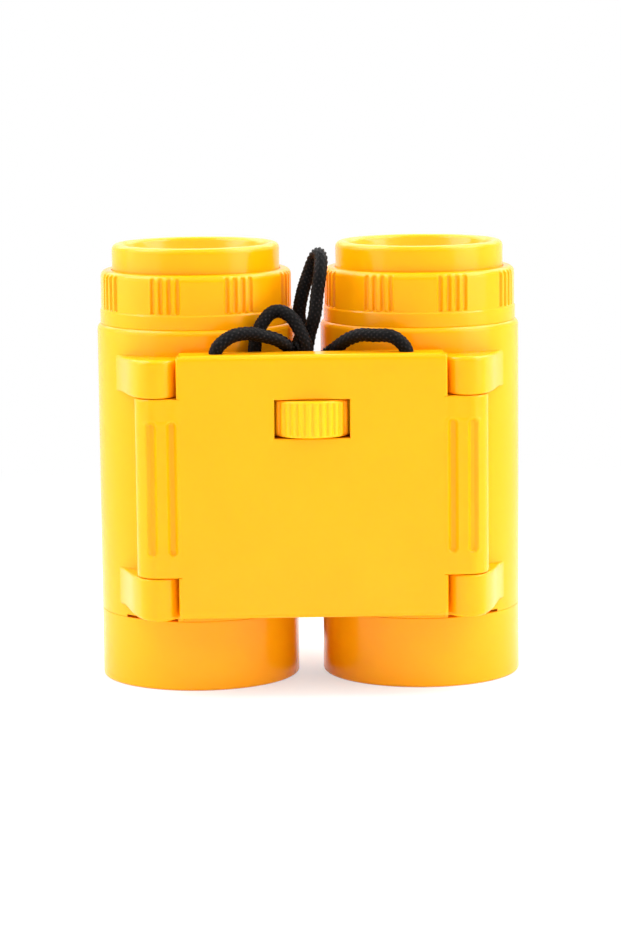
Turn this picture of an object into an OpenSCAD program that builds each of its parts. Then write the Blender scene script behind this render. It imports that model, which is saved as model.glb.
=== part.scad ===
// Folding toy binoculars standing on their objective bells, eyecups up, bridge to the front (-Y).
// Each barrel swings on a hinge pin at the side of the bridge box.

/* [Barrels] */
// Outer radius of a barrel tube and of its bell
barrel_r = 20.4; // [19.6:0.1:21.2]
// Wall of a barrel tube
barrel_wall = 1.9; // [1.6:0.1:2.4]
// Free space between the two folded barrels
barrel_gap = 5.1; // [4.6:0.1:6.5]
// Height of a barrel tube from the seam to its rounded top rim
tube_h = 59.2; // [57:0.1:62]
// Radius of the rounded top rim
rim_fillet = 1.3; // [0.8:0.1:1.8]

/* [Objective bells] */
// Height of the bell below the seam
bell_h = 14.2; // [13:0.1:16]
// Open seam between bell and tube
seam_gap = 0.2; // [0.1:0.05:0.4]
// Wall of the bell at its mouth
bell_wall = 2.8; // [2.4:0.1:3.2]
// Depth from the mouth to the lens
mouth_depth = 7; // [6:0.1:7.6]
// Height of the spigot that plugs into the tube
spigot_h = 5.3; // [4:0.1:7]

/* [Eyepieces] */
// Height of a focus ring
ring_h = 11.1; // [10.4:0.1:12]
// How far the ring stands back from the barrel radius
ring_setback = 0.6; // [0.4:0.1:0.9]
// Height of the plain band at the foot of the ring
band_h = 2.5; // [2:0.1:3.2]
// Groups of grip grooves around a ring
groove_groups = 8; // [6:1:9]
// Grooves in one group
grooves_per_group = 4; // [3:1:4]
// Angle from one groove to the next
groove_pitch = 5.2; // [4.8:0.1:5.6]
// Radius of one groove
groove_r = 0.5; // [0.3:0.05:0.55]
// Angle by which the left ring was left turned
left_ring_turn = 4.3; // [-20:0.1:20]
// How far the eyecup stands back from the barrel radius
cup_setback = 3.2; // [3.1:0.1:3.6]
// How far the eyecup stands above its ring
cup_proud = 4.75; // [4:0.05:6]
// Wall of the eyecup skirt and rim
cup_wall = 1.7; // [1.4:0.1:2]
// Depth of the dish inside the eyecup
dish_depth = 7.4; // [6.5:0.1:7.8]

/* [Lenses] */
// Step from the bell's mouth in to the edge of its lens
lens_step = 1.1; // [0.8:0.1:2.1]
// Edge thickness of an objective lens
objective_edge = 2; // [1.6:0.1:2.6]
// Crown of an objective lens on each side
objective_crown = 1.4; // [0.8:0.1:2]
// Radius of an ocular lens
ocular_r = 8; // [7:0.1:8.6]
// Edge thickness of an ocular lens
ocular_edge = 2.6; // [2.2:0.1:3]
// Hollow of an ocular lens on each side
ocular_hollow = 0.7; // [0.4:0.05:0.9]
// Height of a retaining ring
retainer_h = 1.6; // [1.2:0.1:2]
// How far a retaining ring overlaps its lens
retainer_lap = 1.6; // [1.2:0.1:2]

/* [Bridge] */
// Radius of the hinge knuckles
knuckle_r = 4.25; // [4:0.05:4.5]
// Sideways distance from a barrel axis to its hinge pin
hinge_dx = 8.1; // [7.6:0.1:8.6]
// Space between a middle knuckle and the barrel behind it
hinge_clear = 0.44; // [0.35:0.01:0.6]
// Height of the bridge foot above the seam
bridge_lift = 1.8; // [1.4:0.1:2.4]
// How far the bridge's top stays below the top rims of the tubes
bridge_drop = 4.3; // [3.4:0.1:6.4]
// Front plate thickness
plate_t = 2; // [1.8:0.05:2.1]
// Box wall thickness
wall_t = 1.8; // [1.5:0.1:2.1]
// Rear cover thickness
rear_t = 1.6; // [1.4:0.1:1.8]
// Space between the bridge's back and the barrels
back_clear = 1; // [0.8:0.1:1.2]
// Rounding of the plate's front edges
plate_fillet = 1.1; // [0.6:0.1:1.4]
// Height of the middle knuckles above the bridge foot
tab_lift = 8.4; // [7.8:0.1:9]
// How far the middle knuckles stay below the bridge's top
tab_drop = 8.6; // [7.8:0.1:9.4]
// Space between neighbouring knuckles
knuckle_gap = 0.25; // [0.2:0.05:0.35]
// How far the top knuckle stays below the bridge's top
knuckle_drop = 0.8; // [0.5:0.1:1.2]
// Radius of a hinge pin
pin_r = 1.25; // [1.1:0.05:1.5]
// Width of a finger groove
finger_w = 1.4; // [1:0.1:1.6]
// Space from the end of a finger groove to the end of its knuckle
finger_margin = 4.8; // [4:0.1:7]
// Depth of a finger groove
finger_depth = 0.7; // [0.4:0.1:0.9]
// Distance between the two finger grooves of a knuckle
finger_pitch = 4; // [3.4:0.1:4.2]

/* [Focus wheel] */
// Radius of the wheel
wheel_r = 8.6; // [8.2:0.1:8.8]
// Height of the wheel
wheel_h = 7.4; // [6.6:0.1:8]
// Space between the wheel's housing and the barrels
housing_clear = 0.84; // [0.6:0.02:1.2]
// Ribs around the wheel
wheel_ribs = 36; // [24:1:40]
// Radius of the notch between two ribs
rib_notch_r = 0.34; // [0.25:0.01:0.4]
// Bevel of the wheel's edges
wheel_bevel = 0.6; // [0.3:0.1:0.8]
// Depth of the wheel's middle below the bridge's top
wheel_drop = 12.9; // [12.1:0.1:15]
// Radius of the wheel axle
axle_r = 1.4; // [1.2:0.1:1.6]
// Wall of the wheel housing
housing_wall = 1; // [0.9:0.05:1.1]

/* [Screws and cord] */
// Radius of a screw shank
screw_r = 0.8; // [0.7:0.05:0.9]
// Radius of a screw head
screw_head_r = 1.7; // [1.5:0.1:1.8]
// Plastic left in front of a screw's tip
screw_cover = 2.7; // [2.5:0.1:3.2]
// Diameter of the neck cord
cord_d = 2.4; // [2:0.1:2.6]
// Distance of a cord hole from the bridge's side
cord_inset = 7.5; // [6.5:0.1:8.5]
// Radius of a knot
knot_r = 2.3; // [2:0.1:2.4]
// Mean radius of the coil's outer turn
coil_r = 16; // [15:0.1:17]
// Whole turns in the coil, which ends three quarters of a turn later
coil_whole_turns = 4; // [3:1:5]

/* [Hidden] */
$fn = 96;
lens_fn = 720;

// Clearances: press seats, running fits, wheel room and plain air
seat_clear = 0.03;
run_clear = 0.07;
slide_clear = 0.1;
wheel_room = 0.4;
air = 0.3;
overlap = 0.5;

// Stack of heights
tube_z0 = bell_h + seam_gap;
tube_top = tube_z0 + tube_h;
ring_z0 = tube_top + 0.15;
ring_top = ring_z0 + ring_h;
cup_top = ring_top + cup_proud;
bridge_z0 = tube_z0 + bridge_lift;
bridge_top = tube_top - bridge_drop;
bridge_h = bridge_top - bridge_z0;
tab_z0 = bridge_z0 + tab_lift;
tab_top = bridge_top - tab_drop;
tab_h = tab_top - tab_z0;
knuckle_top = bridge_top - knuckle_drop;
wheel_z = bridge_top - wheel_drop;

// Plan positions, measured from the line through both barrel axes
barrel_x = barrel_r + barrel_gap / 2;
hinge_d = barrel_r + knuckle_r + hinge_clear;
hinge_dy = sqrt(hinge_d * hinge_d - hinge_dx * hinge_dx);
hinge_x = barrel_x + hinge_dx;
plate_front = hinge_dy + knuckle_r;
plate_back = plate_front - plate_t;
bridge_back = barrel_r + back_clear;
bridge_half = hinge_x - knuckle_r - air;

// Wheel, window and housing, which rests in the valley between the barrels
pocket_r = wheel_r + wheel_room;
pocket_h = wheel_h + 1.5 * wheel_room;
housing_r = pocket_r + housing_wall;
housing_d = barrel_r + housing_r + housing_clear;
cap_t = 1.2;
wheel_dy = sqrt(housing_d * housing_d - barrel_x * barrel_x);
window_h = wheel_h + wheel_room;
wheel_chord = sqrt(wheel_r * wheel_r - (wheel_dy - plate_back) * (wheel_dy - plate_back));
window_half = wheel_chord + wheel_room;
// The whole part is moved back so that its box is centred on the origin
barrel_y = (wheel_dy + wheel_r - barrel_r) / 2;

// Barrel bore and eyepiece fits
bore_r = barrel_r - barrel_wall;
ring_r = barrel_r - ring_setback;
band_r = ring_r + 0.12;
cup_r = barrel_r - cup_setback;
neck_bore = cup_r + slide_clear;
neck_wall = 1;
neck_r = neck_bore + neck_wall;
ring_bore = neck_r + slide_clear;
flange_t = 1.3;
neck_top = ring_top - flange_t - air;
bead_h = 1.4;
bead_z = ring_z0 + 3.6;
bead_out = 0.35;

// Bell sections
mouth_r = barrel_r - bell_wall;
objective_r = mouth_r - lens_step;
spigot_r = bore_r - seat_clear;
lens_pocket_r = objective_r + seat_clear;
lens_z = mouth_depth;
lens_ledge_z = lens_z + objective_edge;
ledge_lap = 1.5;
ledge_t = 1.6;

// Eyecup sections
cup_in = cup_r - cup_wall;
dish_z = cup_top - dish_depth;
cell_r = ocular_r + seat_clear;
cell_wall = 1.5;
cell_lip = 1.0;
ocular_top = dish_z - cell_lip;
ocular_z0 = ocular_top - ocular_edge;
cell_z0 = ocular_z0 - retainer_h - 0.2;
skirt_z0 = ring_z0 + 1.4;

// Screws: length, and places as x and height above the bridge foot
screw_l = plate_front - bridge_back - screw_cover;
screw_places = [[bridge_half - 4.5, 5], [bridge_half - 14, bridge_h - 5.5]];

// Cord
cord_r = cord_d / 2;
cord_hole_r = cord_r + 0.25;
cord_hole_x = bridge_half - cord_inset;
cord_dy = plate_back - cord_hole_r - 0.05;
knot_dy = plate_back - slide_clear - knot_r;
knot_top = bridge_top - wall_t - overlap;
knot_h = 2 * cord_d;
coil_at = [-22, 41.5];
coil_turns = coil_whole_turns + 0.75;
coil_pitch = cord_d + 0.5;
layer_step = cord_d + 0.5;
tie_t = 0.5;
coil_z = tie_t + 0.1 + cord_r;
rings_per_turn = 24;
coil_sides = 6;
run_sides = 8;
coil_end = [coil_at.x, coil_at.y - coil_r, coil_z + layer_step];
coil_start = [coil_at.x + coil_r, coil_at.y, coil_z];

// Left hole, arch, dip, tall loop, turn behind the plate, low loop, then back between the barrels
left_route = [
    [-cord_hole_x, -cord_dy, knot_top], [-cord_hole_x, -cord_dy, bridge_top + 0.2],
    [-18.5, -24.5, 71.5], [-16, -23.5, 73], [-12.5, -22.5, 73],
    [-9.5, -22, 72.5], [-6.5, -21, 71.5], [-4, -19, 69.5], [-4, -16, 68], [-4, -12.5, 67.5],
    [-2.5, -9.5, 69], [-1.5, -8.5, 72], [-2, -8.5, 75.5], [-1.5, -9, 80], [-0.5, -9.5, 84],
    [1, -11, 87], [2, -13, 88], [2.5, -15, 87], [2.5, -16.5, 84], [2, -16.5, 80],
    [1, -16.5, 76], [0, -16, 72.5], [-0.5, -16, 70], [-1, -16, 67.5], [-2.5, -16.5, 65],
    [-5, -17, 63.5], [-8.5, -18.5, 64], [-11, -19, 67], [-11, -19, 71], [-10, -18.5, 74],
    [-8, -18, 76.5], [-6, -18, 77], [-4, -18.5, 76], [-2.5, -19, 74], [-1, -19.5, 70.5],
    [-0.5, -19, 66.5], [0.5, -16.5, 63.5], [0, -12, 63.5], [-1, -8, 61], [-1, -3.5, 56.5],
    [-1, 2, 51.5], [-2, 9, 44.5], [-4, 15, 36], [-6, 21, 26.5], [-7, 26.5, 17],
    [-7, 31.5, 8.5], [-6.5, 36, 2.5]
];
// From the coil up between the barrels, over the right arch and into the right hole
right_route = [
    [-14, 25.5, 5], [-9.5, 23.5, 7.5], [-7, 19.5, 13.5], [-5.5, 15.5, 21.5], [-4, 11.5, 30],
    [-2, 7.5, 38], [0, 3, 45.5], [1, -2, 52], [1.5, -5.5, 58.5], [2, -8.5, 63],
    [2.5, -12, 65.5], [3, -15.5, 67.5], [5, -19, 69.5], [7.5, -21, 71.5], [10, -22.5, 72.5],
    [12.5, -23.5, 72.5], [15.5, -24.5, 72.5], [17.5, -24.5, 71.5],
    [cord_hole_x, -cord_dy, bridge_top + 0.2], [cord_hole_x, -cord_dy, knot_top]
];

// Colours of the pieces
yellow = [1.0, 0.72, 0.05];
black = [0.09, 0.09, 0.1];
steel = [0.75, 0.76, 0.78];
clear = [0.85, 0.93, 0.97, 0.5];

// Vector helpers
function unit(v) = v / norm(v);
function flatten(lists) = [for (list = lists) each list];

// Tangent at point i, from its two neighbours
function tangent(p, i) = unit(p[min(i + 1, len(p) - 1)] - p[max(i - 1, 0)]);

// Side directions along a path, each turned as little as possible from the one before
function sides(p, i, last) =
    i == len(p) ? [] :
    let (t = tangent(p, i), s = unit(last - t * (last * t)))
    concat([s], sides(p, i + 1, s));

// A round tube of n sides through the points p, closed by flat ends
module tube(p, r, n) {
    s = sides(p, 0, [0.3, 0.9, 0.1]);
    rings = [
        for (i = [0 : len(p) - 1])
            let (t = tangent(p, i), u = s[i], v = cross(t, u))
            [for (k = [0 : n - 1]) p[i] + r * (u * cos(360 * k / n) + v * sin(360 * k / n))]
    ];
    last = (len(p) - 1) * n;
    walls = [
        for (i = [0 : len(p) - 2], k = [0 : n - 1])
            let (a = i * n + k, b = i * n + (k + 1) % n)
            each [[a, a + n, b], [b, a + n, b + n]]
    ];
    caps = [for (k = [1 : n - 2]) each [[0, k, k + 1], [last, last + k + 1, last + k]]];
    polyhedron(points = flatten(rings), faces = concat(walls, caps));
}

// Coil: spirals in on the floor layer, climbs over the middle half turn and spirals out again
function coil_radius(a) = coil_r - coil_pitch * min(a, coil_turns * 360 - a) / 360;
function climb(a) = min(1, max(0, (a - coil_turns * 180 + 90) / 180));
function coil_point(a) = [
    coil_at.x + coil_radius(a) * cos(a),
    coil_at.y + coil_radius(a) * sin(a),
    coil_z + layer_step * (1 - cos(180 * climb(a))) / 2
];
coil_turn_points = [for (i = [0 : coil_turns * rings_per_turn]) coil_point(360 * i / rings_per_turn)];
coil_points = concat(
    [coil_start - [0, cord_d, 0]], coil_turn_points, [coil_end + [cord_d, 0, 0]]
);
coil_gap = min([
    for (i = [0 : len(coil_points) - 1], j = [i + 8 : 1 : len(coil_points) - 1])
        norm(coil_points[i] - coil_points[j])
]) - cord_d;

// Both sides from one description: side is -1 for the left and 1 for the right
module at_barrel(side) {
    translate([side * barrel_x, barrel_y, 0])
        children();
}

module on_side(side) {
    if (side < 0)
        mirror([1, 0, 0]) children();
    else
        children();
}

// Box given by its low and high corners
module block(low, high) {
    translate(low)
        cube(high - low);
}

// Ring-shaped solid between two radii and two heights
module sleeve(r_in, r_out, z0, z1) {
    translate([0, 0, z0])
        difference() {
            cylinder(r = r_out, h = z1 - z0);
            translate([0, 0, -overlap]) cylinder(r = r_in, h = z1 - z0 + 2 * overlap);
        }
}

// Half section of a bar with its outer top edge rounded
module rounded_bar(r, z0, z1, fillet) {
    square_h = z1 - z0;
    translate([0, z0]) square([r - fillet, square_h]);
    translate([0, z0]) square([r, square_h - fillet]);
    translate([r - fillet, z1 - fillet]) circle(r = fillet);
}

// Barrel tube with its neck and two hinge knuckles
outer_turn = acos((barrel_r - knuckle_r) / hinge_d);
outer_angle = atan2(-hinge_dy, hinge_dx) + outer_turn;
tangent_dir = [cos(outer_angle), sin(outer_angle)];

module knuckle_outline() {
    hinge = [hinge_dx, -hinge_dy];
    translate(hinge) circle(r = knuckle_r);
    polygon([
        barrel_r * tangent_dir,
        hinge + knuckle_r * tangent_dir,
        hinge - [knuckle_r, 0],
        [hinge_dx - knuckle_r, -bore_r + overlap],
        [bore_r * tangent_dir.x, 0]
    ]);
}

module knuckle(z0, z1) {
    translate([0, 0, z0])
        linear_extrude(z1 - z0) knuckle_outline();
}

module barrel_tube() {
    difference() {
        union() {
            rotate_extrude() rounded_bar(barrel_r, tube_z0, tube_top, rim_fillet);
            cylinder(r = neck_r, h = neck_top);
            sleeve(neck_r - overlap, neck_r + bead_out, bead_z, bead_z + bead_h);
            knuckle(bridge_z0, tab_z0 - knuckle_gap);
            knuckle(tab_top + knuckle_gap, knuckle_top);
        }
        translate([0, 0, -overlap]) cylinder(r = bore_r, h = tube_top - barrel_wall + overlap);
        cylinder(r = neck_bore, h = neck_top + overlap);
        translate([0, 0, -overlap]) cylinder(r = barrel_r + overlap, h = tube_z0 + overlap);
        translate([hinge_dx, -hinge_dy, 0]) cylinder(r = pin_r + run_clear, h = knuckle_top - wall_t);
    }
}

module objective_bell() {
    chamfer = 0.5;
    difference() {
        union() {
            rotate_extrude() polygon([
                [0, 0], [barrel_r - chamfer, 0], [barrel_r, chamfer],
                [barrel_r, bell_h - chamfer], [barrel_r - chamfer, bell_h], [0, bell_h]
            ]);
            cylinder(r = spigot_r, h = bell_h + spigot_h);
        }
        translate([0, 0, -overlap]) cylinder(r = mouth_r, h = lens_z + overlap);
        cylinder(r = lens_pocket_r, h = lens_ledge_z);
        cylinder(r = objective_r - ledge_lap, h = bell_h + spigot_h + overlap);
        translate([0, 0, lens_ledge_z + ledge_t]) cylinder(r = objective_r, h = bell_h + spigot_h);
    }
}

module objective_lens() {
    // A flat rim for the seat and the retainer, domed on both sides inside it
    dome_r = objective_r - max(retainer_lap, ledge_lap) - slide_clear;
    ball_r = (dome_r * dome_r + objective_crown * objective_crown) / (2 * objective_crown);
    rotate_extrude() {
        translate([0, lens_z]) square([objective_r, objective_edge]);
        intersection() {
            square([dome_r, bell_h + spigot_h]);
            translate([0, lens_z - objective_crown + ball_r]) circle(r = ball_r, $fn = lens_fn);
            translate([0, lens_ledge_z + objective_crown - ball_r]) circle(r = ball_r, $fn = lens_fn);
        }
    }
}

module objective_retainer() {
    sleeve(objective_r - retainer_lap, mouth_r - seat_clear, lens_z - retainer_h, lens_z);
}

module focus_ring() {
    difference() {
        union() {
            rotate_extrude() rounded_bar(ring_r, ring_z0, ring_top, rim_fillet);
            translate([0, 0, ring_z0]) cylinder(r = band_r, h = band_h);
        }
        translate([0, 0, ring_z0 - overlap]) cylinder(r = ring_bore, h = ring_h - flange_t + overlap);
        translate([0, 0, ring_z0]) cylinder(r = neck_bore, h = ring_h + overlap);
        sleeve(ring_bore - overlap, ring_bore + bead_out, bead_z - air, bead_z + bead_h + air);
        for (g = [0 : groove_groups - 1], k = [0 : grooves_per_group - 1])
            rotate((g + 0.5) * 360 / groove_groups + (k - (grooves_per_group - 1) / 2) * groove_pitch)
                translate([0, -ring_r - 0.1, ring_z0 + band_h])
                    cylinder(r = groove_r, h = ring_h - band_h - rim_fillet / 2, $fn = 24);
    }
}

module eyecup() {
    cup_floor = 1.5;
    dish_fillet = 1.2;
    rim_round = 1.1;
    difference() {
        rotate_extrude() rounded_bar(cup_r, skirt_z0, cup_top, rim_round);
        // Dish: straight wall, then a floor that slopes to the lens mouth
        rotate_extrude() polygon([
            [0, dish_z], [ocular_r + cell_wall, dish_z], [cup_in - dish_fillet, dish_z + dish_fillet],
            [cup_in, dish_z + 2 * dish_fillet], [cup_in, cup_top - 0.4], [cup_in + 0.4, cup_top],
            [cup_in + 0.4, cup_top + overlap], [0, cup_top + overlap]
        ]);
        // Hollow under the floor, around the lens cell
        rotate_extrude() polygon([
            [cell_r + cell_wall, skirt_z0 - overlap], [cup_in, skirt_z0 - overlap],
            [cup_in, dish_z - cup_floor], [cell_r + cell_wall, dish_z - cup_floor]
        ]);
        translate([0, 0, skirt_z0 - overlap]) cylinder(r = cell_r, h = ocular_top - skirt_z0 + overlap);
        cylinder(r = ocular_r - cell_lip, h = cup_top);
        translate([0, 0, skirt_z0 - overlap])
            cylinder(r = cell_r + cell_wall + overlap, h = cell_z0 - skirt_z0 + overlap);
    }
}

module ocular_lens() {
    ball_r = (ocular_r * ocular_r + ocular_hollow * ocular_hollow) / (2 * ocular_hollow);
    rotate_extrude() difference() {
        translate([0, ocular_z0]) square([ocular_r, ocular_edge]);
        translate([0, ocular_z0 + ocular_hollow - ball_r]) circle(r = ball_r, $fn = lens_fn);
        translate([0, ocular_top - ocular_hollow + ball_r]) circle(r = ball_r, $fn = lens_fn);
    }
}

module ocular_retainer() {
    sleeve(ocular_r - retainer_lap, ocular_r, ocular_z0 - retainer_h, ocular_z0);
}

// Bridge: everything below is drawn about the barrel axes and then moved back with them
module on_bridge() {
    translate([0, barrel_y, 0])
        children();
}

// Bridge side view, front edges rounded, drawn as depth against height
module bridge_side() {
    f = plate_fillet;
    translate([-plate_front, bridge_z0 + f]) square([plate_front - bridge_back, bridge_h - 2 * f]);
    translate([-plate_front + f, bridge_z0]) square([plate_front - bridge_back - f, bridge_h]);
    for (z = [bridge_z0 + f, bridge_top - f])
        translate([-plate_front + f, z]) circle(r = f);
}

// Plan of the middle band of the bridge with both middle knuckles
module tab_plan() {
    translate([-hinge_x, -plate_front]) square([2 * hinge_x, plate_front - bridge_back]);
    for (side = [-1, 1])
        translate([side * hinge_x, -hinge_dy]) circle(r = knuckle_r);
}

module finger_groove() {
    straight = tab_h - 2 * finger_margin - finger_w;
    translate([-finger_w / 2, -straight / 2]) square([finger_w, straight]);
    for (end = [-1, 1])
        translate([0, end * straight / 2]) circle(r = finger_w / 2);
}

module screw_points() {
    for (side = [-1, 1], place = screw_places)
        translate([side * place.x, -bridge_back, bridge_z0 + place.y])
            rotate([90, 0, 0]) children();
}

module bridge_front_cover() {
    // The pair of grooves sits a little inside the hinge pin
    finger_x = hinge_x - 1.05;
    color(yellow) on_bridge() {
        difference() {
            union() {
                translate([-bridge_half, 0, 0])
                    rotate([90, 0, 90]) linear_extrude(2 * bridge_half) bridge_side();
                translate([0, 0, tab_z0]) linear_extrude(tab_h) tab_plan();
            }
            block(
                [-bridge_half + wall_t, -plate_back, bridge_z0 + wall_t],
                [bridge_half - wall_t, -bridge_back + overlap, bridge_top - wall_t]
            );
            block(
                [-window_half, -plate_front - overlap, wheel_z - window_h / 2],
                [window_half, -plate_back + overlap, wheel_z + window_h / 2]
            );
            for (side = [-1, 1]) {
                translate([side * hinge_x, -hinge_dy, tab_z0 - overlap])
                    cylinder(r = pin_r + seat_clear, h = tab_h + 2 * overlap);
                translate([side * cord_hole_x, -cord_dy, bridge_top - wall_t - overlap])
                    cylinder(r = cord_hole_r, h = wall_t + 2 * overlap);
                for (step = [-1, 1])
                    translate([
                        side * (finger_x + step * finger_pitch / 2),
                        -plate_front + finger_depth, (tab_z0 + tab_top) / 2
                    ])
                        rotate([90, 0, 0]) linear_extrude(finger_depth + overlap) finger_groove();
            }
        }
        screw_points()
            translate([0, 0, rear_t]) difference() {
                cylinder(r = screw_r + 1.4, h = plate_back - bridge_back - rear_t + overlap);
                translate([0, 0, -overlap])
                    cylinder(r = screw_r + seat_clear, h = screw_l - rear_t + overlap + air);
            }
    }
}

// Rear cover: a lid inside the box walls, with the wheel housing bulging into the valley
module bridge_rear_cover() {
    lid_half = bridge_half - wall_t - slide_clear;
    lid_front = bridge_back + rear_t;
    color(yellow) on_bridge() difference() {
        union() {
            block(
                [-lid_half, -lid_front, bridge_z0 + wall_t + slide_clear],
                [lid_half, -bridge_back, bridge_top - wall_t - slide_clear]
            );
            intersection() {
                translate([0, -wheel_dy, wheel_z - pocket_h / 2 - cap_t])
                    cylinder(r = housing_r, h = pocket_h + 2 * cap_t);
                block([-housing_r, -plate_back + air, 0], [housing_r, 0, bridge_top]);
            }
        }
        translate([0, -wheel_dy, wheel_z - pocket_h / 2]) cylinder(r = pocket_r, h = pocket_h);
        block(
            [-housing_r - overlap, -plate_back, wheel_z - pocket_h / 2],
            [housing_r + overlap, -lid_front, wheel_z + pocket_h / 2]
        );
        translate([0, -wheel_dy, wheel_z - pocket_h]) cylinder(r = axle_r + seat_clear, h = 2 * pocket_h);
        screw_points() {
            translate([0, 0, -overlap]) cylinder(r = screw_r + slide_clear, h = rear_t + 2 * overlap);
            translate([0, 0, -overlap])
                cylinder(r = screw_head_r + slide_clear, h = rear_t / 2 + overlap);
        }
        for (side = [-1, 1])
            block(
                [side * cord_hole_x - knot_r - air, -lid_front - overlap, knot_top - knot_h - air],
                [side * cord_hole_x + knot_r + air, -bridge_back + overlap, bridge_top]
            );
    }
}

module bridge_screws() {
    color(steel) on_bridge() screw_points() {
        cylinder(r = screw_r, h = screw_l);
        cylinder(r = screw_head_r, h = rear_t / 2);
    }
}

module wheel_axle() {
    color(steel) on_bridge()
        translate([0, -wheel_dy, wheel_z - pocket_h / 2 - cap_t])
            cylinder(r = axle_r, h = pocket_h + 2 * cap_t);
}

module focus_wheel() {
    color(yellow) on_bridge() translate([0, -wheel_dy, wheel_z - wheel_h / 2]) difference() {
        rotate_extrude() polygon([
            [0, 0], [wheel_r - wheel_bevel, 0], [wheel_r, wheel_bevel],
            [wheel_r, wheel_h - wheel_bevel], [wheel_r - wheel_bevel, wheel_h], [0, wheel_h]
        ]);
        translate([0, 0, -overlap]) cylinder(r = axle_r + run_clear, h = wheel_h + 2 * overlap);
        for (k = [0 : wheel_ribs - 1])
            rotate((k + 0.5) * 360 / wheel_ribs) translate([0, -wheel_r, -overlap])
                cylinder(r = rib_notch_r, h = wheel_h + 2 * overlap, $fn = 24);
    }
}

module hinge_pin(side) {
    color(steel) on_bridge() translate([side * hinge_x, -hinge_dy, bridge_z0 + 0.2])
        cylinder(r = pin_r, h = knuckle_top - wall_t - bridge_z0 - 0.5);
}

// Cord ends, knotted under the bridge's top wall
module cord_knot(side) {
    fillet = knot_r / 2;
    color(black) on_bridge() translate([side * cord_hole_x, -knot_dy, 0])
        rotate_extrude() {
            translate([0, knot_top - knot_h]) square([knot_r - fillet, knot_h]);
            translate([0, knot_top - knot_h + fillet]) square([knot_r, knot_h - fillet]);
            translate([knot_r - fillet, knot_top - knot_h + fillet]) circle(r = fillet);
        }
}

module cord_left_run() {
    color(black) on_bridge() tube(concat(left_route, [coil_points[0]]), cord_r, run_sides);
}

module cord_coil() {
    echo(coil_gap = coil_gap);
    color(black) on_bridge() tube(coil_points, cord_r, coil_sides);
}

module cord_right_run() {
    color(black) on_bridge()
        tube(concat([coil_points[len(coil_points) - 1]], right_route), cord_r, run_sides);
}

// Flat band around the bundle of turns
module cord_tie() {
    tie_w = 4;
    room = 0.1;
    low_r = coil_radius(coil_turns * 180) - cord_r - room;
    high_r = coil_r + cord_r + room;
    high_z = coil_z + layer_step + cord_r + room;
    color(black) on_bridge() translate([coil_at.x, coil_at.y, 0]) rotate(135) difference() {
        block([low_r - tie_t, -tie_w / 2, 0], [high_r + tie_t, tie_w / 2, high_z + tie_t]);
        block([low_r, -tie_w, tie_t], [high_r, tie_w, high_z]);
    }
}

module left_barrel_tube() { color(yellow) at_barrel(-1) on_side(-1) barrel_tube(); }
module right_barrel_tube() { color(yellow) at_barrel(1) on_side(1) barrel_tube(); }
module left_objective_bell() { color(yellow) at_barrel(-1) objective_bell(); }
module right_objective_bell() { color(yellow) at_barrel(1) objective_bell(); }
module left_objective_lens() { color(clear) at_barrel(-1) objective_lens(); }
module right_objective_lens() { color(clear) at_barrel(1) objective_lens(); }
module left_objective_retainer() { color(black) at_barrel(-1) objective_retainer(); }
module right_objective_retainer() { color(black) at_barrel(1) objective_retainer(); }
module left_focus_ring() { color(yellow) at_barrel(-1) rotate(left_ring_turn) focus_ring(); }
module right_focus_ring() { color(yellow) at_barrel(1) focus_ring(); }
module left_eyecup() { color(yellow) at_barrel(-1) eyecup(); }
module right_eyecup() { color(yellow) at_barrel(1) eyecup(); }
module left_ocular_lens() { color(clear) at_barrel(-1) ocular_lens(); }
module right_ocular_lens() { color(clear) at_barrel(1) ocular_lens(); }
module left_ocular_retainer() { color(black) at_barrel(-1) ocular_retainer(); }
module right_ocular_retainer() { color(black) at_barrel(1) ocular_retainer(); }

bridge_front_cover();
bridge_rear_cover();
bridge_screws();
wheel_axle();
focus_wheel();
hinge_pin(-1);  // left_hinge_pin
hinge_pin(1);  // right_hinge_pin
left_barrel_tube();
right_barrel_tube();
left_objective_bell();
right_objective_bell();
left_objective_lens();
right_objective_lens();
left_objective_retainer();
right_objective_retainer();
left_focus_ring();
right_focus_ring();
left_eyecup();
right_eyecup();
left_ocular_lens();
right_ocular_lens();
left_ocular_retainer();
right_ocular_retainer();
cord_knot(-1);  // left_cord_knot
cord_knot(1);  // right_cord_knot
cord_left_run();
cord_coil();
cord_right_run();
cord_tie();
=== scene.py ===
"""Looks of the folding toy binoculars: glossy moulded plastic, clear lenses and a braided neck cord.

Shapes are worked out in millimetres in the frame's axes and scaled to metres when they become meshes.
"""

import logging
import math
from dataclasses import dataclass
from enum import Enum
from typing import NamedTuple, Sequence

import bpy
import numpy as np
from mathutils import Matrix, Vector


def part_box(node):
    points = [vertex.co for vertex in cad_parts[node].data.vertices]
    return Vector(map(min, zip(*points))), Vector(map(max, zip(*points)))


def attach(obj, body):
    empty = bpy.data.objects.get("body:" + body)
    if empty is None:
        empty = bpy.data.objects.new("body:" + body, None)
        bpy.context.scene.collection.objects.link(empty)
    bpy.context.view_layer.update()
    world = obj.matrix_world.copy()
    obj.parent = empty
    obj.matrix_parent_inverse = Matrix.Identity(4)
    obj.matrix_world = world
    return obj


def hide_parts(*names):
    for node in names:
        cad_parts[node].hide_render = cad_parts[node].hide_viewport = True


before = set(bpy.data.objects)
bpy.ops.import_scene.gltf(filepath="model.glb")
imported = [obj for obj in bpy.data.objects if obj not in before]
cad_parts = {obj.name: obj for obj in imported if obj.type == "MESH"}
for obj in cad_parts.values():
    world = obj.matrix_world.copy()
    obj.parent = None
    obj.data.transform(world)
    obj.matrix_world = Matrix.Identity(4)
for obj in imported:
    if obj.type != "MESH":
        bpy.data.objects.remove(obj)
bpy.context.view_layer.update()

MM = 0.001
LOG = logging.getLogger("toy_binoculars")


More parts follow.
